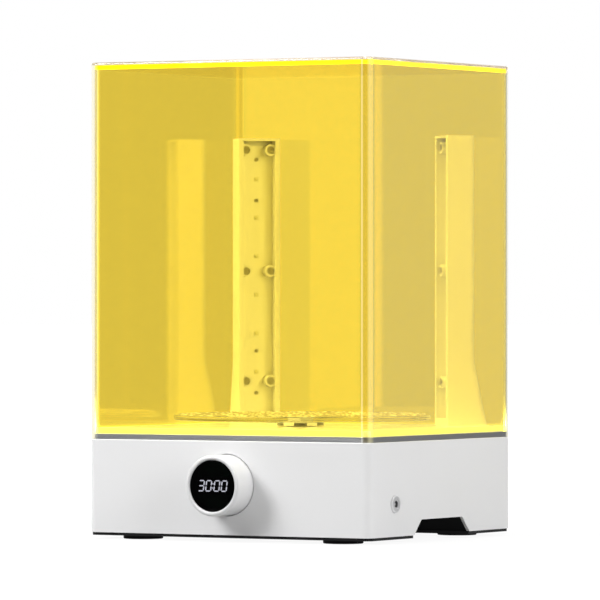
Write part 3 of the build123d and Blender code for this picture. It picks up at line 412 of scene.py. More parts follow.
# -------------------- geometry node helpers
def geometry_tree(name, inputs):
    """A Geometry Nodes tree that makes its own geometry, with named inputs: (name, socket type)."""
    tree = bpy.data.node_groups.new(name, "GeometryNodeTree")
    for label, kind in inputs:
        tree.interface.new_socket(name=label, in_out="INPUT", socket_type=kind)
    tree.interface.new_socket(name="Geometry", in_out="OUTPUT", socket_type="NodeSocketGeometry")
    return tree, tree.nodes.new("NodeGroupInput"), tree.nodes.new("NodeGroupOutput")


def plain_mesh_from(name, tree, values):
    """Evaluate a Geometry Nodes tree with these inputs and keep its result as a plain mesh."""
    holder = placed(name + "_maker", bpy.data.meshes.new(name + "_maker"))
    modifier = holder.modifiers.new("Maker", "NODES")
    modifier.node_group = tree
    for item in tree.interface.items_tree:
        if item.item_type == "SOCKET" and item.in_out == "INPUT" and item.name in values:
            modifier[item.identifier] = values[item.name]
    bpy.context.view_layer.update()
    made = holder.evaluated_get(bpy.context.evaluated_depsgraph_get())
    mesh = bpy.data.meshes.new_from_object(made)
    holder.modifiers.remove(modifier)
    bpy.data.objects.remove(holder)
    mesh.name = name
    return placed(name, mesh)


def build_dot_tree():
    """Small raised dots on a square grid, inside a ring."""
    lengths = ("Spacing", "Outer Radius", "Inner Radius", "Dot Radius", "Dot Height", "Level")
    inputs = [(label, "NodeSocketFloat") for label in lengths]
    inputs.append(("Material", "NodeSocketMaterial"))
    tree, entry, out = geometry_tree("turntable_dot_grid", inputs)
    link = tree.links.new
    spacing = entry.outputs["Spacing"]
    outer = entry.outputs["Outer Radius"]
    steps = maths(tree, "FLOOR", maths(tree, "DIVIDE", outer, spacing))
    both_ways = maths(tree, "MULTIPLY", steps, 2.0)
    count = maths(tree, "ADD", both_ways, 1.0)
    span = maths(tree, "MULTIPLY", both_ways, spacing)
    grid = add(tree, "GeometryNodeMeshGrid")
    link(span, grid.inputs["Size X"])
    link(span, grid.inputs["Size Y"])
    link(count, grid.inputs["Vertices X"])
    link(count, grid.inputs["Vertices Y"])
    place = add(tree, "GeometryNodeInputPosition")
    reach = add(tree, "ShaderNodeVectorMath", operation="LENGTH")
    link(place.outputs["Position"], reach.inputs[0])
    beyond = maths(tree, "GREATER_THAN", reach.outputs["Value"], outer)
    within = maths(tree, "LESS_THAN", reach.outputs["Value"], entry.outputs["Inner Radius"])
    outside = maths(tree, "MAXIMUM", beyond, within)
    cut = add(tree, "GeometryNodeDeleteGeometry", domain="POINT")
    link(grid.outputs["Mesh"], cut.inputs["Geometry"])
    link(outside, cut.inputs["Selection"])
    dot = add(tree, "GeometryNodeMeshCone", fill_type="NGON")
    dot.inputs["Vertices"].default_value = 12
    link(maths(tree, "MULTIPLY", entry.outputs["Dot Radius"], 0.45), dot.inputs["Radius Top"])
    link(entry.outputs["Dot Radius"], dot.inputs["Radius Bottom"])
    link(entry.outputs["Dot Height"], dot.inputs["Depth"])
    scatter = add(tree, "GeometryNodeInstanceOnPoints")
    link(cut.outputs["Geometry"], scatter.inputs["Points"])
    link(dot.outputs["Mesh"], scatter.inputs["Instance"])
    lift = add(tree, "ShaderNodeCombineXYZ")
    link(entry.outputs["Level"], lift.inputs["Z"])
    raise_up = add(tree, "GeometryNodeTransform")
    # A random value per dot, read by the dots' finish for their painted glint
    shine = add(tree, "GeometryNodeStoreNamedAttribute", data_type="FLOAT", domain="INSTANCE")
    shine.inputs["Name"].default_value = "shine"
    chance = add(tree, "FunctionNodeRandomValue", data_type="FLOAT")
    link(scatter.outputs["Instances"], shine.inputs["Geometry"])
    link(chance.outputs["Value"], shine.inputs["Value"])
    link(shine.outputs["Geometry"], raise_up.inputs["Geometry"])
    link(lift.outputs["Vector"], raise_up.inputs["Translation"])
    real = add(tree, "GeometryNodeRealizeInstances")
    link(raise_up.outputs["Geometry"], real.inputs["Geometry"])
    paint = add(tree, "GeometryNodeSetMaterial")
    link(real.outputs["Geometry"], paint.inputs["Geometry"])
    link(entry.outputs["Material"], paint.inputs["Material"])
    link(paint.outputs["Geometry"], out.inputs["Geometry"])
    return tree


# -------------------- fine meshes
def rounded_ring(half_x, half_y, radius, z):
    """Points round a rounded rectangle, seen from above anticlockwise."""
    points = []
    for turn, (sx, sy) in enumerate(((1, 1), (-1, 1), (-1, -1), (1, -1))):
        for step in range(CORNER_STEPS + 1):
            angle = math.radians(90.0 * (turn + step / CORNER_STEPS))
            across, along = radius * math.cos(angle), radius * math.sin(angle)
            points.append((sx * (half_x - radius) + across, sy * (half_y - radius) + along, z))
    return points


def joined_rings(name, rings, top=None, ceiling=None):
    """A closed mesh from rings, each joined to the next and the last to the first.

    top and ceiling are the numbers of the two rings between which the surface isn't joined but capped.
    """
    work = bmesh.new()
    rows = [[work.verts.new(point) for point in ring] for ring in rings]
    count = len(rows[0])
    for index, row in enumerate(rows):
        if index == top:
            continue
        beyond = rows[(index + 1) % len(rows)]
        for k in range(count):
            work.faces.new((row[k], row[(k + 1) % count], beyond[(k + 1) % count], beyond[k]))
    if top is not None:
        work.faces.new(rows[top])
        work.faces.new(list(reversed(rows[ceiling])))
    mesh = bpy.data.meshes.new(name)
    work.to_mesh(mesh)
    work.free()
    return keep_flats(name, mesh)


def keep_flats(name, mesh):
    """A piece whose small facets stay flat, so that glass bends light by its true shape."""
    mesh.shade_flat()
    return placed(name, mesh)


def cut_round_pocket(piece, centre, radius, depth):
    """Cut a round pocket into a piece, along Y from its centre."""
    turns = [2 * math.pi * k / POCKET_STEPS for k in range(POCKET_STEPS)]
    near = [(centre[0] + radius * math.cos(a), centre[1], centre[2] + radius * math.sin(a)) for a in turns]
    far = [(x, y + depth, z) for x, y, z in near]
    cutter = joined_rings("pocket_cutter", (far, near), 1, 0)
    modifier = piece.modifiers.new("Pocket", "BOOLEAN")
    modifier.operation = "DIFFERENCE"
    modifier.object = cutter
    modifier.solver = "EXACT"
    bpy.context.view_layer.update()
    made = bpy.data.meshes.new_from_object(piece.evaluated_get(bpy.context.evaluated_depsgraph_get()))
    piece.modifiers.remove(modifier)
    bpy.data.objects.remove(cutter)
    name = piece.name
    bpy.data.objects.remove(piece)
    return keep_flats(name, made)


# -------------------- settings
def colour_setting(name, description, default):
    """A colour for the panel."""
    return bpy.props.FloatVectorProperty(
        name=name, description=description, subtype="COLOR", size=3, default=default, min=0.0, max=1.0
    )


def length_setting(name, description, default, low, high):
    """A length for the panel."""
    return bpy.props.FloatProperty(
        name=name, description=description, unit="LENGTH", default=default, min=low, max=high
    )


def level_setting(name, description, default, unit="NONE"):
    """A brightness, or a lamp's power, for the panel."""
    return bpy.props.FloatProperty(name=name, description=description, unit=unit, default=default, min=0.0)


class HoodSettings(bpy.types.PropertyGroup):
    """Colours and sizes of the lift-off hood."""

    amber: colour_setting("Amber", "What light keeps after one pass of the lining", (1.0, 0.857, 0.27))
    clear: colour_setting("Clear", "What light keeps after one pass of the outer shell", (0.985, 0.99, 0.985))
    # Painted glow on the top plate's cut edge
    painted_edge_glow: colour_setting("Edge glow", "Light gathered at the cut edge of the top plate", (0.9, 0.75, 0.0))
    # Painted shade: a deeper amber painted on the top plate's cut edge
    painted_edge_shade: colour_setting("Edge tint", "Deep colour seen into the cut edge", (1.0, 0.7, 0.02))
    # Painted glow on the shell's rounded top edge
    painted_rim_glow: colour_setting("Rim glow", "Light gathered along the shell's rounded top edge", (0.1, 0.06, 0.02))
    # Painted glow on the shell's upright corners
    painted_corner_glow: colour_setting(
        "Corner glow", "Light gathered along the shell's upright corners", (0.06, 0.06, 0.035)
    )
    # Painted glow in the lining's back corners
    painted_back_glow: colour_setting(
        "Back corner glow", "Amber light the back corners of the lining gather", (0.3, 0.25, 0.06)
    )
    # Painted highlight where a flat pane begins to bend
    painted_bend_highlight: colour_setting("Bend glow", "Bright line where a flat pane begins to bend", (0.15, 0.15, 0.14))
    # Painted shade: a darker, warmer tint in the shell's upright corners
    painted_corner_shade: colour_setting("Corner tint", "What light keeps in the shell's upright corners", (0.93, 0.88, 0.7))
    # Painted shade: a darker tint in the shell's rounded top edge
    painted_rim_shade: colour_setting("Rim tint", "What light keeps in the shell's rounded top edge", (0.6, 0.5, 0.38))
    top_amber: colour_setting("Top amber", "What light keeps after one pass of the top plate", (0.89, 0.72, 0.09))
    # Painted glow at the lining's lower edge
    painted_foot_glow: colour_setting("Foot glow", "Light gathered at the lining's lower edge", (0.2, 0.2, 0.03))
    lining_inner: length_setting(
        "Lining inner corner", "Inside radius of the lining's upright corners", 0.0065, 0.0001, 0.01
    )
    shell_inner: length_setting(
        "Shell inner corner", "Inside radius of the shell's upright corners", 0.0065, 0.0001, 0.01
    )
    corner: length_setting("Corner radius", "Outside radius of the upright corners", 0.008, 0.004, 0.03)
    top_edge: length_setting("Top edge radius", "Rounding of the shell's top edge", 0.002, 0.0005, 0.005)
    shell_wall: length_setting("Shell thickness", "Thickness of the clear shell", 0.002, 0.001, 0.004)
    lining_gap: length_setting("Lining gap", "Air between the shell and its lining", 0.00025, 0.0, 0.001)
    lining_wall: length_setting("Lining thickness", "Thickness of the amber walls", 0.002, 0.001, 0.003)
    glue_line: length_setting("Joint line", "Between the amber walls and the top plate", 0.00005, 0.0, 0.0005)


class TurntableSettings(bpy.types.PropertyGroup):
    """Sizes of the dots on the turntable."""

    spacing: length_setting("Spacing", "From one dot to the next", 0.007, 0.002, 0.02)
    dot_radius: length_setting("Dot radius", "Radius of a dot at its foot", 0.0016, 0.0003, 0.005)
    dot_height: length_setting("Dot height", "Height of a dot", 0.00065, 0.0001, 0.0007)
    dot_gap: length_setting("Dot gap", "Between the disc and the foot of a dot", 0.00001, 0.0, 0.0001)
    rim: length_setting("Rim", "Plain margin at the disc's edge", 0.003, 0.0, 0.05)
    centre_radius: length_setting("Centre radius", "Plain middle round the hub's key", 0.011, 0.008, 0.05)


class CaseSettings(bpy.types.PropertyGroup):
    """Colours of the base."""

    white: colour_setting("Case", "Moulded white of the housing and the knob", (0.73, 0.73, 0.735))
    black: colour_setting("Underside", "Bottom plate, feet and hand recesses", (0.006, 0.006, 0.0065))
    digits: colour_setting("Digits", "Lit digits of the timer", (0.88, 0.9, 0.97))


class StudioSettings(bpy.types.PropertyGroup):
    """Lamps and background."""

    left_power: level_setting("Left lamp", "Front left", 73.0, "POWER")
    right_power: level_setting("Right lamp", "Right side", 54.0, "POWER")
    top_power: level_setting("Top lamp", "Overhead", 55.0, "POWER")
    back_power: level_setting("Back lamp", "Weak, behind", 40.0, "POWER")
    ambient: level_setting("Ambient", "Even light all round", 0.15)
    backdrop: level_setting("Backdrop", "White seen straight through the hood", 1.05)
    room: level_setting("Room", "What the panes mirror from the sides", 1.0)
    room_back: level_setting("Room back", "What they mirror from the back right", 0.3)
    room_front: level_setting("Room front", "What they mirror from the front left", 0.06)
    room_viewer: level_setting("Room viewer", "What the corners mirror from the viewer's side", 0.15)
    card: level_setting("Card", "White card mirrored in the back pane", 2.3)


# -------------------- operators
class CURING_OT_effects(bpy.types.Operator):
    """Build the shader groups that the finishes share"""

    bl_idname = "curing.effects"
    bl_label = "Shared effects"

    def execute(self, context):
        for build in (build_grain_group, build_tone_group, build_brushed_group, build_smudge_group):
            tree = build()
            GROUPS[tree.name] = tree
        return {"FINISHED"}


class CURING_OT_case(bpy.types.Operator):
    """Finish the housing, bottom plate, feet, hand recesses and power inlet"""

    bl_idname = "curing.case"
    bl_label = "Case"

    def execute(self, context):
        look = context.scene.curing_case
        case = moulded_finish("case_white", look.white, rgba(look.white, 0.985), 0.42, 1100.0)
        dress(case, "base_housing")
        black = look.black
        plate = moulded_finish("plate_black", black, rgba(black, 1.5), 0.5, 1600.0, Specular_IOR_Level=0.12)
        dress(plate, "bottom_plate")
        # Black, made darker still in the hand recesses as painted shade
        recess = moulded_finish(
            "recess_black", rgba(black, 0.2), rgba(black, 0.3), 0.7, 1300.0, Specular_IOR_Level=0.03
        )
        dress(recess, "grip_well_left", "grip_well_right")
        rubber = moulded_finish("foot_rubber", black, rgba(black, 2.2), 0.8, 700.0, 0.00012, Specular_IOR_Level=0.1)
        dress(rubber, "foot_front_left", "foot_front_right", "foot_rear_left", "foot_rear_right")
        inlet = metal_finish("inlet_nickel", (0.62, 0.62, 0.63), (0.7, 0.7, 0.7), 0.32, (500.0, 20.0, 20.0))
        dress(inlet, "jack_body", "jack_nut")
        return {"FINISHED"}


class CURING_OT_chamber(bpy.types.Operator):
    """Finish the deck rim, the chamber floor, the lamp posts and their boards"""

    bl_idname = "curing.chamber"
    bl_label = "Chamber"

    def execute(self, context):
        rim = metal_finish("rim_satin", (0.32, 0.32, 0.33), (0.37, 0.37, 0.38), 0.38, (4.0, 4.0, 700.0))
        dress(rim, "deck_rim")
        floor = moulded_finish(
            "floor_white", (0.85, 0.85, 0.84), (0.83, 0.83, 0.82), 0.22, 500.0, 0.00001, Coat_Weight=0.3
        )
        dress(floor, "chamber_floor")
        post = moulded_finish("post_white", (0.82, 0.82, 0.81), (0.8, 0.8, 0.79), 0.4, 1200.0)
        dress(post, "post_housing_left", "post_housing_right")
        board = moulded_finish("board_white", (0.9, 0.9, 0.88), (0.87, 0.87, 0.85), 0.3, 400.0, 0.00001)
        dress(board, "lamp_board_left", "lamp_board_right")
        lamp = moulded_finish("lamp_lens", (0.8, 0.78, 0.62), (0.74, 0.72, 0.55), 0.15, 900.0, 0.00001)
        dress(lamp, "lamps_left", "lamps_right")
        screw = metal_finish("screw_zinc", (0.5, 0.5, 0.51), (0.62, 0.62, 0.62), 0.34, (900.0, 900.0, 40.0))
        dress(screw, *[name for name in NODES if name.endswith("_screws") or "_screws_" in name])
        blackened = moulded_finish("screw_black", (0.02, 0.02, 0.021), (0.03, 0.03, 0.03), 0.4, 900.0, Metallic=0.6)
        dress(blackened, "plate_screws", "foot_screws")
        return {"FINISHED"}


class CURING_OT_hood(bpy.types.Operator):
    """Make the hood's clear shell, amber lining and top plate with truly round corners, and finish them"""

    bl_idname = "curing.hood"
    bl_label = "Hood"

    def execute(self, context):
        look = context.scene.curing_hood
        clear = self.painted_rim_and_corner_finish(look)
        wall = self.painted_glow_walls_finish(look)
        top = self.painted_edge_glow_finish(look)
        magnet = metal_finish("magnet_nickel", (0.6, 0.59, 0.56), (0.66, 0.65, 0.62), 0.2, (300.0, 9.0, 9.0))
        dress(magnet, "hood_magnet")
        self.take_place(self.make_shell(look), "hood_shell", clear)
        self.take_place(self.make_walls(look), "hood_filter_walls", wall)
        self.take_place(self.make_top(look), "hood_filter_top", top)
        return {"FINISHED"}

    def take_place(self, piece, node, material):
        """The fine piece stands for its plain one."""
        piece.data.materials.clear()
        piece.data.materials.append(material)
        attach(piece, "hood")
        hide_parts(node)

    def make_shell(self, look):
        """The clear shell, open below, with a rounded top edge and the magnet's pocket."""
        low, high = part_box("hood_shell")
        half_x, half_y, radius, skin, edge = high.x, high.y, look.corner, look.shell_wall, look.top_edge
        rings = [rounded_ring(half_x, half_y, radius, low.z)]
        for step in range(EDGE_STEPS + 1):
            angle = math.radians(90.0 * step / EDGE_STEPS)
            inset = edge * (1.0 - math.cos(angle))
            rings.append(
                rounded_ring(half_x - inset, half_y - inset, radius - inset, high.z - edge + edge * math.sin(angle))
            )
        top = len(rings) - 1
        rings.append(rounded_ring(half_x - skin, half_y - skin, look.shell_inner, high.z - skin))
        rings.append(rounded_ring(half_x - skin, half_y - skin, look.shell_inner, low.z))
        shell = joined_rings("hood_shell_fine", rings, top, top + 1)
        low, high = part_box("hood_magnet")
        centre = ((low.x + high.x) / 2, half_y - skin - POCKET_CLEARANCE, (low.z + high.z) / 2)
        depth = high.y - centre[1] + POCKET_CLEARANCE / 2
        return cut_round_pocket(shell, centre, (high.x - low.x) / 2 + POCKET_CLEARANCE, depth)

    def make_walls(self, look):
        """The amber lining of the four walls."""
        low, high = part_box("hood_filter_walls")
        wall = look.lining_wall
        top = high.z - look.glue_line
        outer = (high.x, high.y, look.corner - look.shell_wall - look.lining_gap)
        inner = (high.x - wall, high.y - wall, look.lining_inner)
        rings = [
            rounded_ring(*outer, low.z),
            rounded_ring(*outer, top),
            rounded_ring(*inner, top),
            rounded_ring(*inner, low.z),
        ]
        return joined_rings("hood_lining_fine", rings)

    def make_top(self, look):
        """The thick amber top plate."""
        low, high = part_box("hood_filter_top")
        radius = look.corner - look.shell_wall - look.lining_gap
        rings = [rounded_ring(high.x, high.y, radius, low.z), rounded_ring(high.x, high.y, radius, high.z)]
        return joined_rings("hood_top_fine", rings, 1, 0)

    def painted_glow_walls_finish(self, look):
        """Amber sheet with a painted glow at its lower edge and in its back corners."""
        material, tree, shader = sheet_finish("hood_amber", rgba(look.amber), AMBER_LAMP_TINT, Emission_Strength=1.0)
        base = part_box("hood_filter_walls")[0].z
        # Mask of the painted glow along the lining's lower edge
        foot = spread(tree, axes_of(tree, "Object")["Z"], 1.0, 0.0, *(base + height for height in PAINTED_FOOT_GLOW_FADE))
        # Mask of the painted glow in the back corners
        facing = axes_of(tree, "Normal")
        backward = spread(tree, facing["Y"], 0.0, 1.0, 0.1, 0.3)
        sideward = spread(tree, maths(tree, "ABSOLUTE", facing["X"]), 0.0, 1.0, 0.4, 0.6)
        behind = maths(tree, "MULTIPLY", backward, sideward)
        # Painted glow, not light that the sheet gathers
        glow = mix_colour(tree, foot, BLACK, rgba(look.painted_foot_glow))
        tree.links.new(mix_colour(tree, behind, glow, rgba(look.painted_back_glow)), shader.inputs["Emission Color"])
        return material

    def painted_rim_and_corner_finish(self, look):
        """Clear sheet with a painted glow on its rounded top edge and upright corners, a painted highlight where a
        flat pane begins to bend, and painted shade in what the edge and corners let through.
        """
        material, tree, shader = sheet_finish("hood_clear", rgba(look.clear), CLEAR_LAMP_TINT, Emission_Strength=1.0)
        facing = axes_of(tree, "Normal")
        across, along, up = (maths(tree, "ABSOLUTE", facing[axis]) for axis in "XYZ")
        level = maths(tree, "MAXIMUM", across, along)

        def where(first, second):
            return maths(tree, "MULTIPLY", spread(tree, *first), spread(tree, *second))

        # Masks for painted light: the rounded top edge, the upright corners, and where a flat pane begins to bend
        # Each range is of how far the surface faces along that axis
        top = where((up, 0.0, 1.0, 0.05, 0.3), (level, 0.0, 1.0, 0.05, 0.3))
        turn = where((across, 0.0, 1.0, 0.6, 0.8), (along, 0.0, 1.0, 0.03, 0.15))
        bend = where((across, 0.0, 1.0, 0.01, 0.04), (across, 1.0, 0.0, 0.12, 0.2))
        # Painted glow on the corners and the top edge, and a painted highlight along each bend
        glow = mix_colour(tree, turn, BLACK, rgba(look.painted_corner_glow))
        glow = mix_colour(tree, bend, glow, rgba(look.painted_bend_highlight))
        tree.links.new(mix_colour(tree, top, glow, rgba(look.painted_rim_glow)), shader.inputs["Emission Color"])
        # Painted shade: the corners and the rounded top edge let less light through than the flat panes
        corner_shade_mask = spread(tree, maths(tree, "MINIMUM", across, along), 0.0, 1.0, 0.05, 0.3)
        tint = mix_colour(tree, corner_shade_mask, rgba(look.clear), rgba(look.painted_corner_shade))
        tree.links.new(mix_colour(tree, top, tint, rgba(look.painted_rim_shade)), shader.inputs["Base Color"])
        return material

    def painted_edge_glow_finish(self, look):
        """Amber sheet with a painted glow along its cut edge, and a deeper amber painted on that edge as shade."""
        amber = rgba(look.top_amber)
        material, tree, shader = sheet_finish("hood_amber_top", amber, AMBER_LAMP_TINT, Emission_Strength=1.0)
        low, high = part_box("hood_filter_top")
        depth = high.z - low.z
        # Masks for the cut edge: its sides, and a band near the top where the painted glow is strongest
        side = spread(tree, maths(tree, "ABSOLUTE", axes_of(tree, "Normal")["Z"]), 1.0, 0.0, 0.1, 0.6)
        painted_glow_band = spread(tree, axes_of(tree, "Object")["Z"], 1.0, 0.15, high.z - 0.3 * depth, high.z - 0.12 * depth)
        edge = maths(tree, "MULTIPLY", side, painted_glow_band)
        # Painted glow on the cut edge, not light that the sheet carries
        tree.links.new(mix_colour(tree, edge, BLACK, rgba(look.painted_edge_glow)), shader.inputs["Emission Color"])
        # Painted shade: the cut edge is given a deeper amber than the sheet
        tree.links.new(mix_colour(tree, side, amber, rgba(look.painted_edge_shade)), shader.inputs["Base Color"])
        return material


class CURING_OT_turntable(bpy.types.Operator):
    """Finish the turntable and its drive, and raise the dots on the disc"""

    bl_idname = "curing.turntable"
    bl_label = "Turntable"

    def execute(self, context):
        sizes = context.scene.curing_turntable
        disc = sheet_finish("disc_clear", (0.97, 0.97, 0.96, 1.0), DISC_LAMP_TINT)[0]
        dress(disc, "turntable_disc")
        dots = self.dot_painted_glint_finish()
        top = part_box("turntable_disc")[1]
        piece = plain_mesh_from(
            "turntable_dots",
            build_dot_tree(),
            {
                "Spacing": sizes.spacing,
                "Outer Radius": top.x - sizes.rim,
                "Inner Radius": sizes.centre_radius,
                "Dot Radius": sizes.dot_radius,
                "Dot Height": sizes.dot_height,
                "Level": top.z + sizes.dot_gap,
                "Material": dots,
            },
        )
        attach(piece, "turntable")
        hub = moulded_finish("hub_white", (0.8, 0.8, 0.79), (0.76, 0.76, 0.75), 0.35, 900.0)
        dress(hub, "turntable_hub")
        shaft = metal_finish("shaft_ground", (0.55, 0.55, 0.56), (0.63, 0.63, 0.64), 0.2, (9.0, 9.0, 900.0))
        dress(shaft, "drive_shaft")
        brass = metal_finish("bush_brass", (0.62, 0.44, 0.17), (0.7, 0.52, 0.22), 0.28, (9.0, 9.0, 700.0))
        dress(brass, "spindle_bush", "board_standoffs")
        plated = metal_finish("drive_plated", (0.45, 0.45, 0.46), (0.56, 0.56, 0.57), 0.33, (9.0, 9.0, 400.0))
        dress(plated, "gearbox", "motor_can", "motor_bracket")
        return {"FINISHED"}

    def dot_painted_glint_finish(self):
        """Frosted dots, some painted lighter than others at random, as a painted glint."""
        material, tree, shader = finish_of("dot_frosted")
        # The random value per dot picks which dots get the painted glint
        chance = add(tree, "ShaderNodeAttribute", attribute_name="shine").outputs["Fac"]
        bright = spread(tree, chance, 0.0, 1.0, 0.55, 0.75)
        grain = effect(tree, "moulded_grain", Scale=1500.0, Roughness=0.35, Wander=0.05)
        tree.links.new(
            mix_colour(tree, bright, (0.42, 0.38, 0.28, 1.0), (0.85, 0.84, 0.76, 1.0)), shader.inputs["Base Color"]
        )
        tree.links.new(grain.outputs["Roughness"], shader.inputs["Roughness"])
        bump_from(tree, shader, grain.outputs["Height"], 0.35, 0.00002)
        let_lamps_through(tree, shader, DOT_LAMP_TINT)
        return material


class CURING_OT_knob(bpy.types.Operator):
    """Finish the timer knob, its display and the pieces behind it"""

    bl_idname = "curing.knob"
    bl_label = "Timer knob"

    def execute(self, context):
        look = context.scene.curing_case
        # Painted shade: the case's white, made darker on the knob as its shaded sides look
        ring = moulded_finish("knob_white", rgba(look.white, 0.87), rgba(look.white, 0.86), 0.36, 1300.0)
        dress(ring, "knob_ring")
        window, tree, shader = finish_of(
            "window_smoked", Base_Color=(0.1, 0.1, 0.105, 1.0), Transmission_Weight=1.0, IOR=1.3
        )
        marks = effect(tree, "wiping_marks", Clean=0.0, Marked=0.01)
        tree.links.new(marks.outputs["Roughness"], shader.inputs["Roughness"])
        dress(window, "display_window")
        lit, tree, shader = finish_of(
            "digit_lit", Base_Color=(0.1, 0.1, 0.1, 1.0), Roughness=0.5, Emission_Strength=7.0
        )
        tone = effect(tree, "soft_tone", Colour=rgba(look.digits), Second_Colour=rgba(look.digits, 0.8), Scale=900.0)
        tree.links.new(tone.outputs["Colour"], shader.inputs["Emission Color"])
        dress(lit, "display_segments_lit")
        dark = moulded_finish("display_dark", (0.004, 0.004, 0.004), (0.006, 0.006, 0.006), 0.5, 900.0)
        dress(dark, "display_module", "display_segments_unlit")
        inner = moulded_finish("inner_black", (0.01, 0.01, 0.01), (0.014, 0.014, 0.014), 0.5, 1200.0)
        dress(inner, "knob_carriage", "knob_guide", "encoder_ring", "switch_plunger")
        clip = metal_finish("clip_spring_steel", (0.3, 0.3, 0.32), (0.38, 0.38, 0.4), 0.35, (40.0, 40.0, 40.0))
        dress(clip, "knob_clip")
        return {"FINISHED"}


class CURING_OT_electronics(bpy.types.Operator):
    """Finish the control board, its components and the leads"""

    bl_idname = "curing.electronics"
    bl_label = "Electronics"

    def execute(self, context):
        board = moulded_finish("board_green", (0.01, 0.12, 0.045), (0.014, 0.16, 0.06), 0.35, 300.0)
        dress(board, "control_board", "switch_board", "display_board")
        parts = moulded_finish("component_black", (0.015, 0.015, 0.016), (0.03, 0.03, 0.03), 0.5, 900.0)
        dress(parts, "board_components", "encoder_reader", "hood_sensor", "push_switch")
        lead = moulded_finish("lead_black", (0.012, 0.012, 0.012), (0.02, 0.02, 0.02), 0.45, 900.0)
        dress(lead, "leads")
        return {"FINISHED"}


class CURING_OT_stage(bpy.types.Operator):
    """Set the floor, the background, the lamps and the camera"""

    bl_idname = "curing.stage"
    bl_label = "Studio"

    def execute(self, context):
        look = context.scene.curing_studio
        scene = context.scene
        scene.view_settings.view_transform = "Standard"
        for limit, count in BOUNCES.items():
            setattr(scene.cycles, limit, count)
        scene.cycles.caustics_refractive = True
        scene.cycles.caustics_reflective = False
        self.add_world(scene, look)
        self.add_floor(look)
        self.add_card(look)
        for name, place, aim, size, power, mirrored in LAMPS:
            self.add_lamp(name, place, aim, size, getattr(look, power), mirrored)
        self.add_camera(scene)
        return {"FINISHED"}

    def add_world(self, scene, look):
        """White behind the unit, dim where its panes mirror the room, and even for plain surfaces."""
        world = bpy.data.worlds.new("studio")
        world.use_nodes = True
        scene.world = world
        tree = world.node_tree
        path, mirrored, straight = ray_kinds(tree)
        seen = maths(tree, "MAXIMUM", path.outputs["Is Transmission Ray"], path.outputs["Is Glossy Ray"])
        bounced = maths(tree, "MULTIPLY", seen, mirrored)
        direction = add(tree, "ShaderNodeTexCoord").outputs["Generated"]
        slope = maths(tree, "ABSOLUTE", heading_along(tree, direction, UP))
        room = room_level(tree, direction, spread(tree, slope, 0.0, 1.0, 0.08, 0.18), look)
        level = spread(tree, straight, look.ambient, look.backdrop)
        level = spread(tree, bounced, level, room)
        level = spread(tree, path.outputs["Is Camera Ray"], level, 1.0)
        background = tree.nodes["Background"]
        background.inputs["Color"].default_value = WHITE
        tree.links.new(level, background.inputs["Strength"])

    def add_floor(self, look):
        """A pale floor that looks white and keeps a soft shadow."""
        mesh = bpy.data.meshes.new("studio_floor")
        turns = [2 * math.pi * i / FLOOR_SIDES for i in range(FLOOR_SIDES)]
        corners = [(math.cos(a) * FLOOR_RADIUS, math.sin(a) * FLOOR_RADIUS, FLOOR_LEVEL) for a in turns]
        mesh.from_pydata(corners, [], [list(range(FLOOR_SIDES))])
        placed("studio_floor", mesh)
        material, tree, shader = finish_of(
            "studio_floor", Base_Color=(0.3, 0.3, 0.3, 1.0), Roughness=0.9, Specular_IOR_Level=0.0
        )
        path, mirrored, straight = ray_kinds(tree)
        seen = maths(tree, "MAXIMUM", path.outputs["Is Camera Ray"], path.outputs["Is Transmission Ray"])
        seen = maths(tree, "MAXIMUM", seen, path.outputs["Is Glossy Ray"])
        away = add(tree, "ShaderNodeVectorMath", operation="NORMALIZE")
        place = add(tree, "ShaderNodeTexCoord").outputs["Object"]
        tree.links.new(place, away.inputs[0])
        reach = add(tree, "ShaderNodeVectorMath", operation="LENGTH")
        tree.links.new(place, reach.inputs[0])
        level = spread(tree, straight, FLOOR_WHITE, look.backdrop)
        close = spread(tree, reach.outputs["Value"], 1.0, 0.0, *ROOM_FADE)
        level = spread(tree, mirrored, level, room_level(tree, away.outputs["Vector"], close, look))
        glow = add(tree, "ShaderNodeEmission")
        tree.links.new(level, glow.inputs["Strength"])
        plain = spread(tree, reach.outputs["Value"], 0.8, 1.0, *SHADOW_FADE)
        plain = maths(tree, "MAXIMUM", plain, maths(tree, "MAXIMUM", straight, mirrored))
        share = maths(tree, "MULTIPLY", seen, plain)
        mix_surface(tree, share, shader.outputs["BSDF"], glow.outputs["Emission"])
        mesh.materials.append(material)

    def add_card(self, look):
        """A white card at the front left that only the hood's inner faces mirror."""
        mesh = bpy.data.meshes.new("studio_card")
        (left, right), (foot, head) = CARD_SIDES, CARD_HEIGHTS
        corners = [
            Vector(FRONT_LEFT) * CARD_DISTANCE + Vector(FRONT_RIGHT) * side + Vector(UP) * height
            for side, height in ((left, foot), (right, foot), (right, head), (left, head))
        ]
        mesh.from_pydata(corners, [], [(0, 1, 2, 3)])
        placed("studio_card", mesh)
        material, tree, shader = finish_of("studio_card")
        tree.nodes.remove(shader)
        path, mirrored = ray_kinds(tree)[:2]
        inside = maths(tree, "GREATER_THAN", path.outputs["Transmission Depth"], FACES_IN_AND_OUT - 0.5)
        clear = add(tree, "ShaderNodeBsdfTransparent")
        glow = add(tree, "ShaderNodeEmission")
        glow.inputs["Strength"].default_value = look.card
        mix_surface(tree, maths(tree, "MULTIPLY", inside, mirrored), clear.outputs["BSDF"], glow.outputs["Emission"])
        mesh.materials.append(material)

    def add_lamp(self, name, place, aim, size, power, mirrored):
        """A soft square lamp."""
        data = bpy.data.lights.new(name, "AREA")
        data.shape = "SQUARE"
        data.size = size
        data.energy = power
        lamp = placed(name, data)
        lamp.location = place
        lamp.rotation_euler = (Vector(aim) - Vector(place)).to_track_quat("-Z", "Y").to_euler()
        lamp.visible_transmission = False
        lamp.visible_glossy = mirrored
        if mirrored:
            self.fade_edges(data)

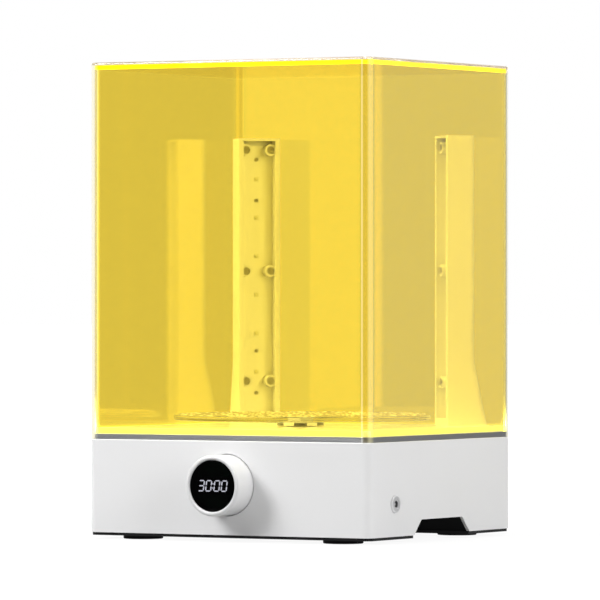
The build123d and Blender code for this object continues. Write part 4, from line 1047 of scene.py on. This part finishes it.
    def fade_edges(self, data):
        """Let a lamp fade towards its edges, so that its mirror image has no outline."""
        data.use_nodes = True
        tree = data.node_tree
        across = add(tree, "ShaderNodeSeparateXYZ")
        tree.links.new(add(tree, "ShaderNodeNewGeometry").outputs["Parametric"], across.inputs[0])
        off_x, off_y = (
            maths(tree, "POWER", maths(tree, "SUBTRACT", across.outputs[axis], 0.5), 2.0) for axis in "XY"
        )
        reach = maths(tree, "SQRT", maths(tree, "ADD", off_x, off_y))
        tree.links.new(spread(tree, reach, FADE_GAIN, 0.0, *LAMP_FADE), tree.nodes["Emission"].inputs["Strength"])

    def add_camera(self, scene):
        """Eye level with the middle of the unit, 30 degrees to its right, from far away."""
        data = bpy.data.cameras.new("camera")
        data.lens = CAMERA_LENS
        data.sensor_width = CAMERA_SENSOR
        data.clip_end = CAMERA_REACH
        data.shift_y = CAMERA_SHIFT
        camera = placed("camera", data)
        camera.location = CAMERA_PLACE
        camera.rotation_euler = [math.radians(angle) for angle in CAMERA_TURN]
        scene.camera = camera


class CURING_PT_panel(bpy.types.Panel):
    """The unit's settings and the steps that dress it"""

    bl_idname = "CURING_PT_panel"
    bl_label = "Light curing unit"
    bl_space_type = "VIEW_3D"
    bl_region_type = "UI"
    bl_category = "Curing Unit"

    def draw(self, context):
        layout = self.layout
        for label, settings in (
            ("Hood", context.scene.curing_hood),
            ("Turntable", context.scene.curing_turntable),
            ("Case", context.scene.curing_case),
            ("Studio", context.scene.curing_studio),
        ):
            box = layout.box()
            box.label(text=label)
            for key in settings.bl_rna.properties.keys():
                if key not in ("rna_type", "name"):
                    box.prop(settings, key)
        for operator in OPERATORS:
            layout.operator(operator.bl_idname)


SETTINGS = {
    "curing_hood": HoodSettings,
    "curing_turntable": TurntableSettings,
    "curing_case": CaseSettings,
    "curing_studio": StudioSettings,
}
OPERATORS = (
    CURING_OT_effects,
    CURING_OT_case,
    CURING_OT_chamber,
    CURING_OT_hood,
    CURING_OT_turntable,
    CURING_OT_knob,
    CURING_OT_electronics,
    CURING_OT_stage,
)


def register():
    """Register the settings, operators and panel."""
    for name, group in SETTINGS.items():
        bpy.utils.register_class(group)
        setattr(bpy.types.Scene, name, bpy.props.PointerProperty(type=group))
    for operator in OPERATORS:
        bpy.utils.register_class(operator)
    bpy.utils.register_class(CURING_PT_panel)


def unregister():
    """Take the settings, operators and panel back out."""
    bpy.utils.unregister_class(CURING_PT_panel)
    for operator in reversed(OPERATORS):
        bpy.utils.unregister_class(operator)
    for name, group in SETTINGS.items():
        delattr(bpy.types.Scene, name)
        bpy.utils.unregister_class(group)


def main():
    """Dress the unit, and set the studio."""
    register()
    bpy.ops.curing.effects()
    bpy.ops.curing.case()
    bpy.ops.curing.chamber()
    bpy.ops.curing.hood()
    bpy.ops.curing.turntable()
    bpy.ops.curing.knob()
    bpy.ops.curing.electronics()
    bpy.ops.curing.stage()


if __name__ == "__main__":
    main()
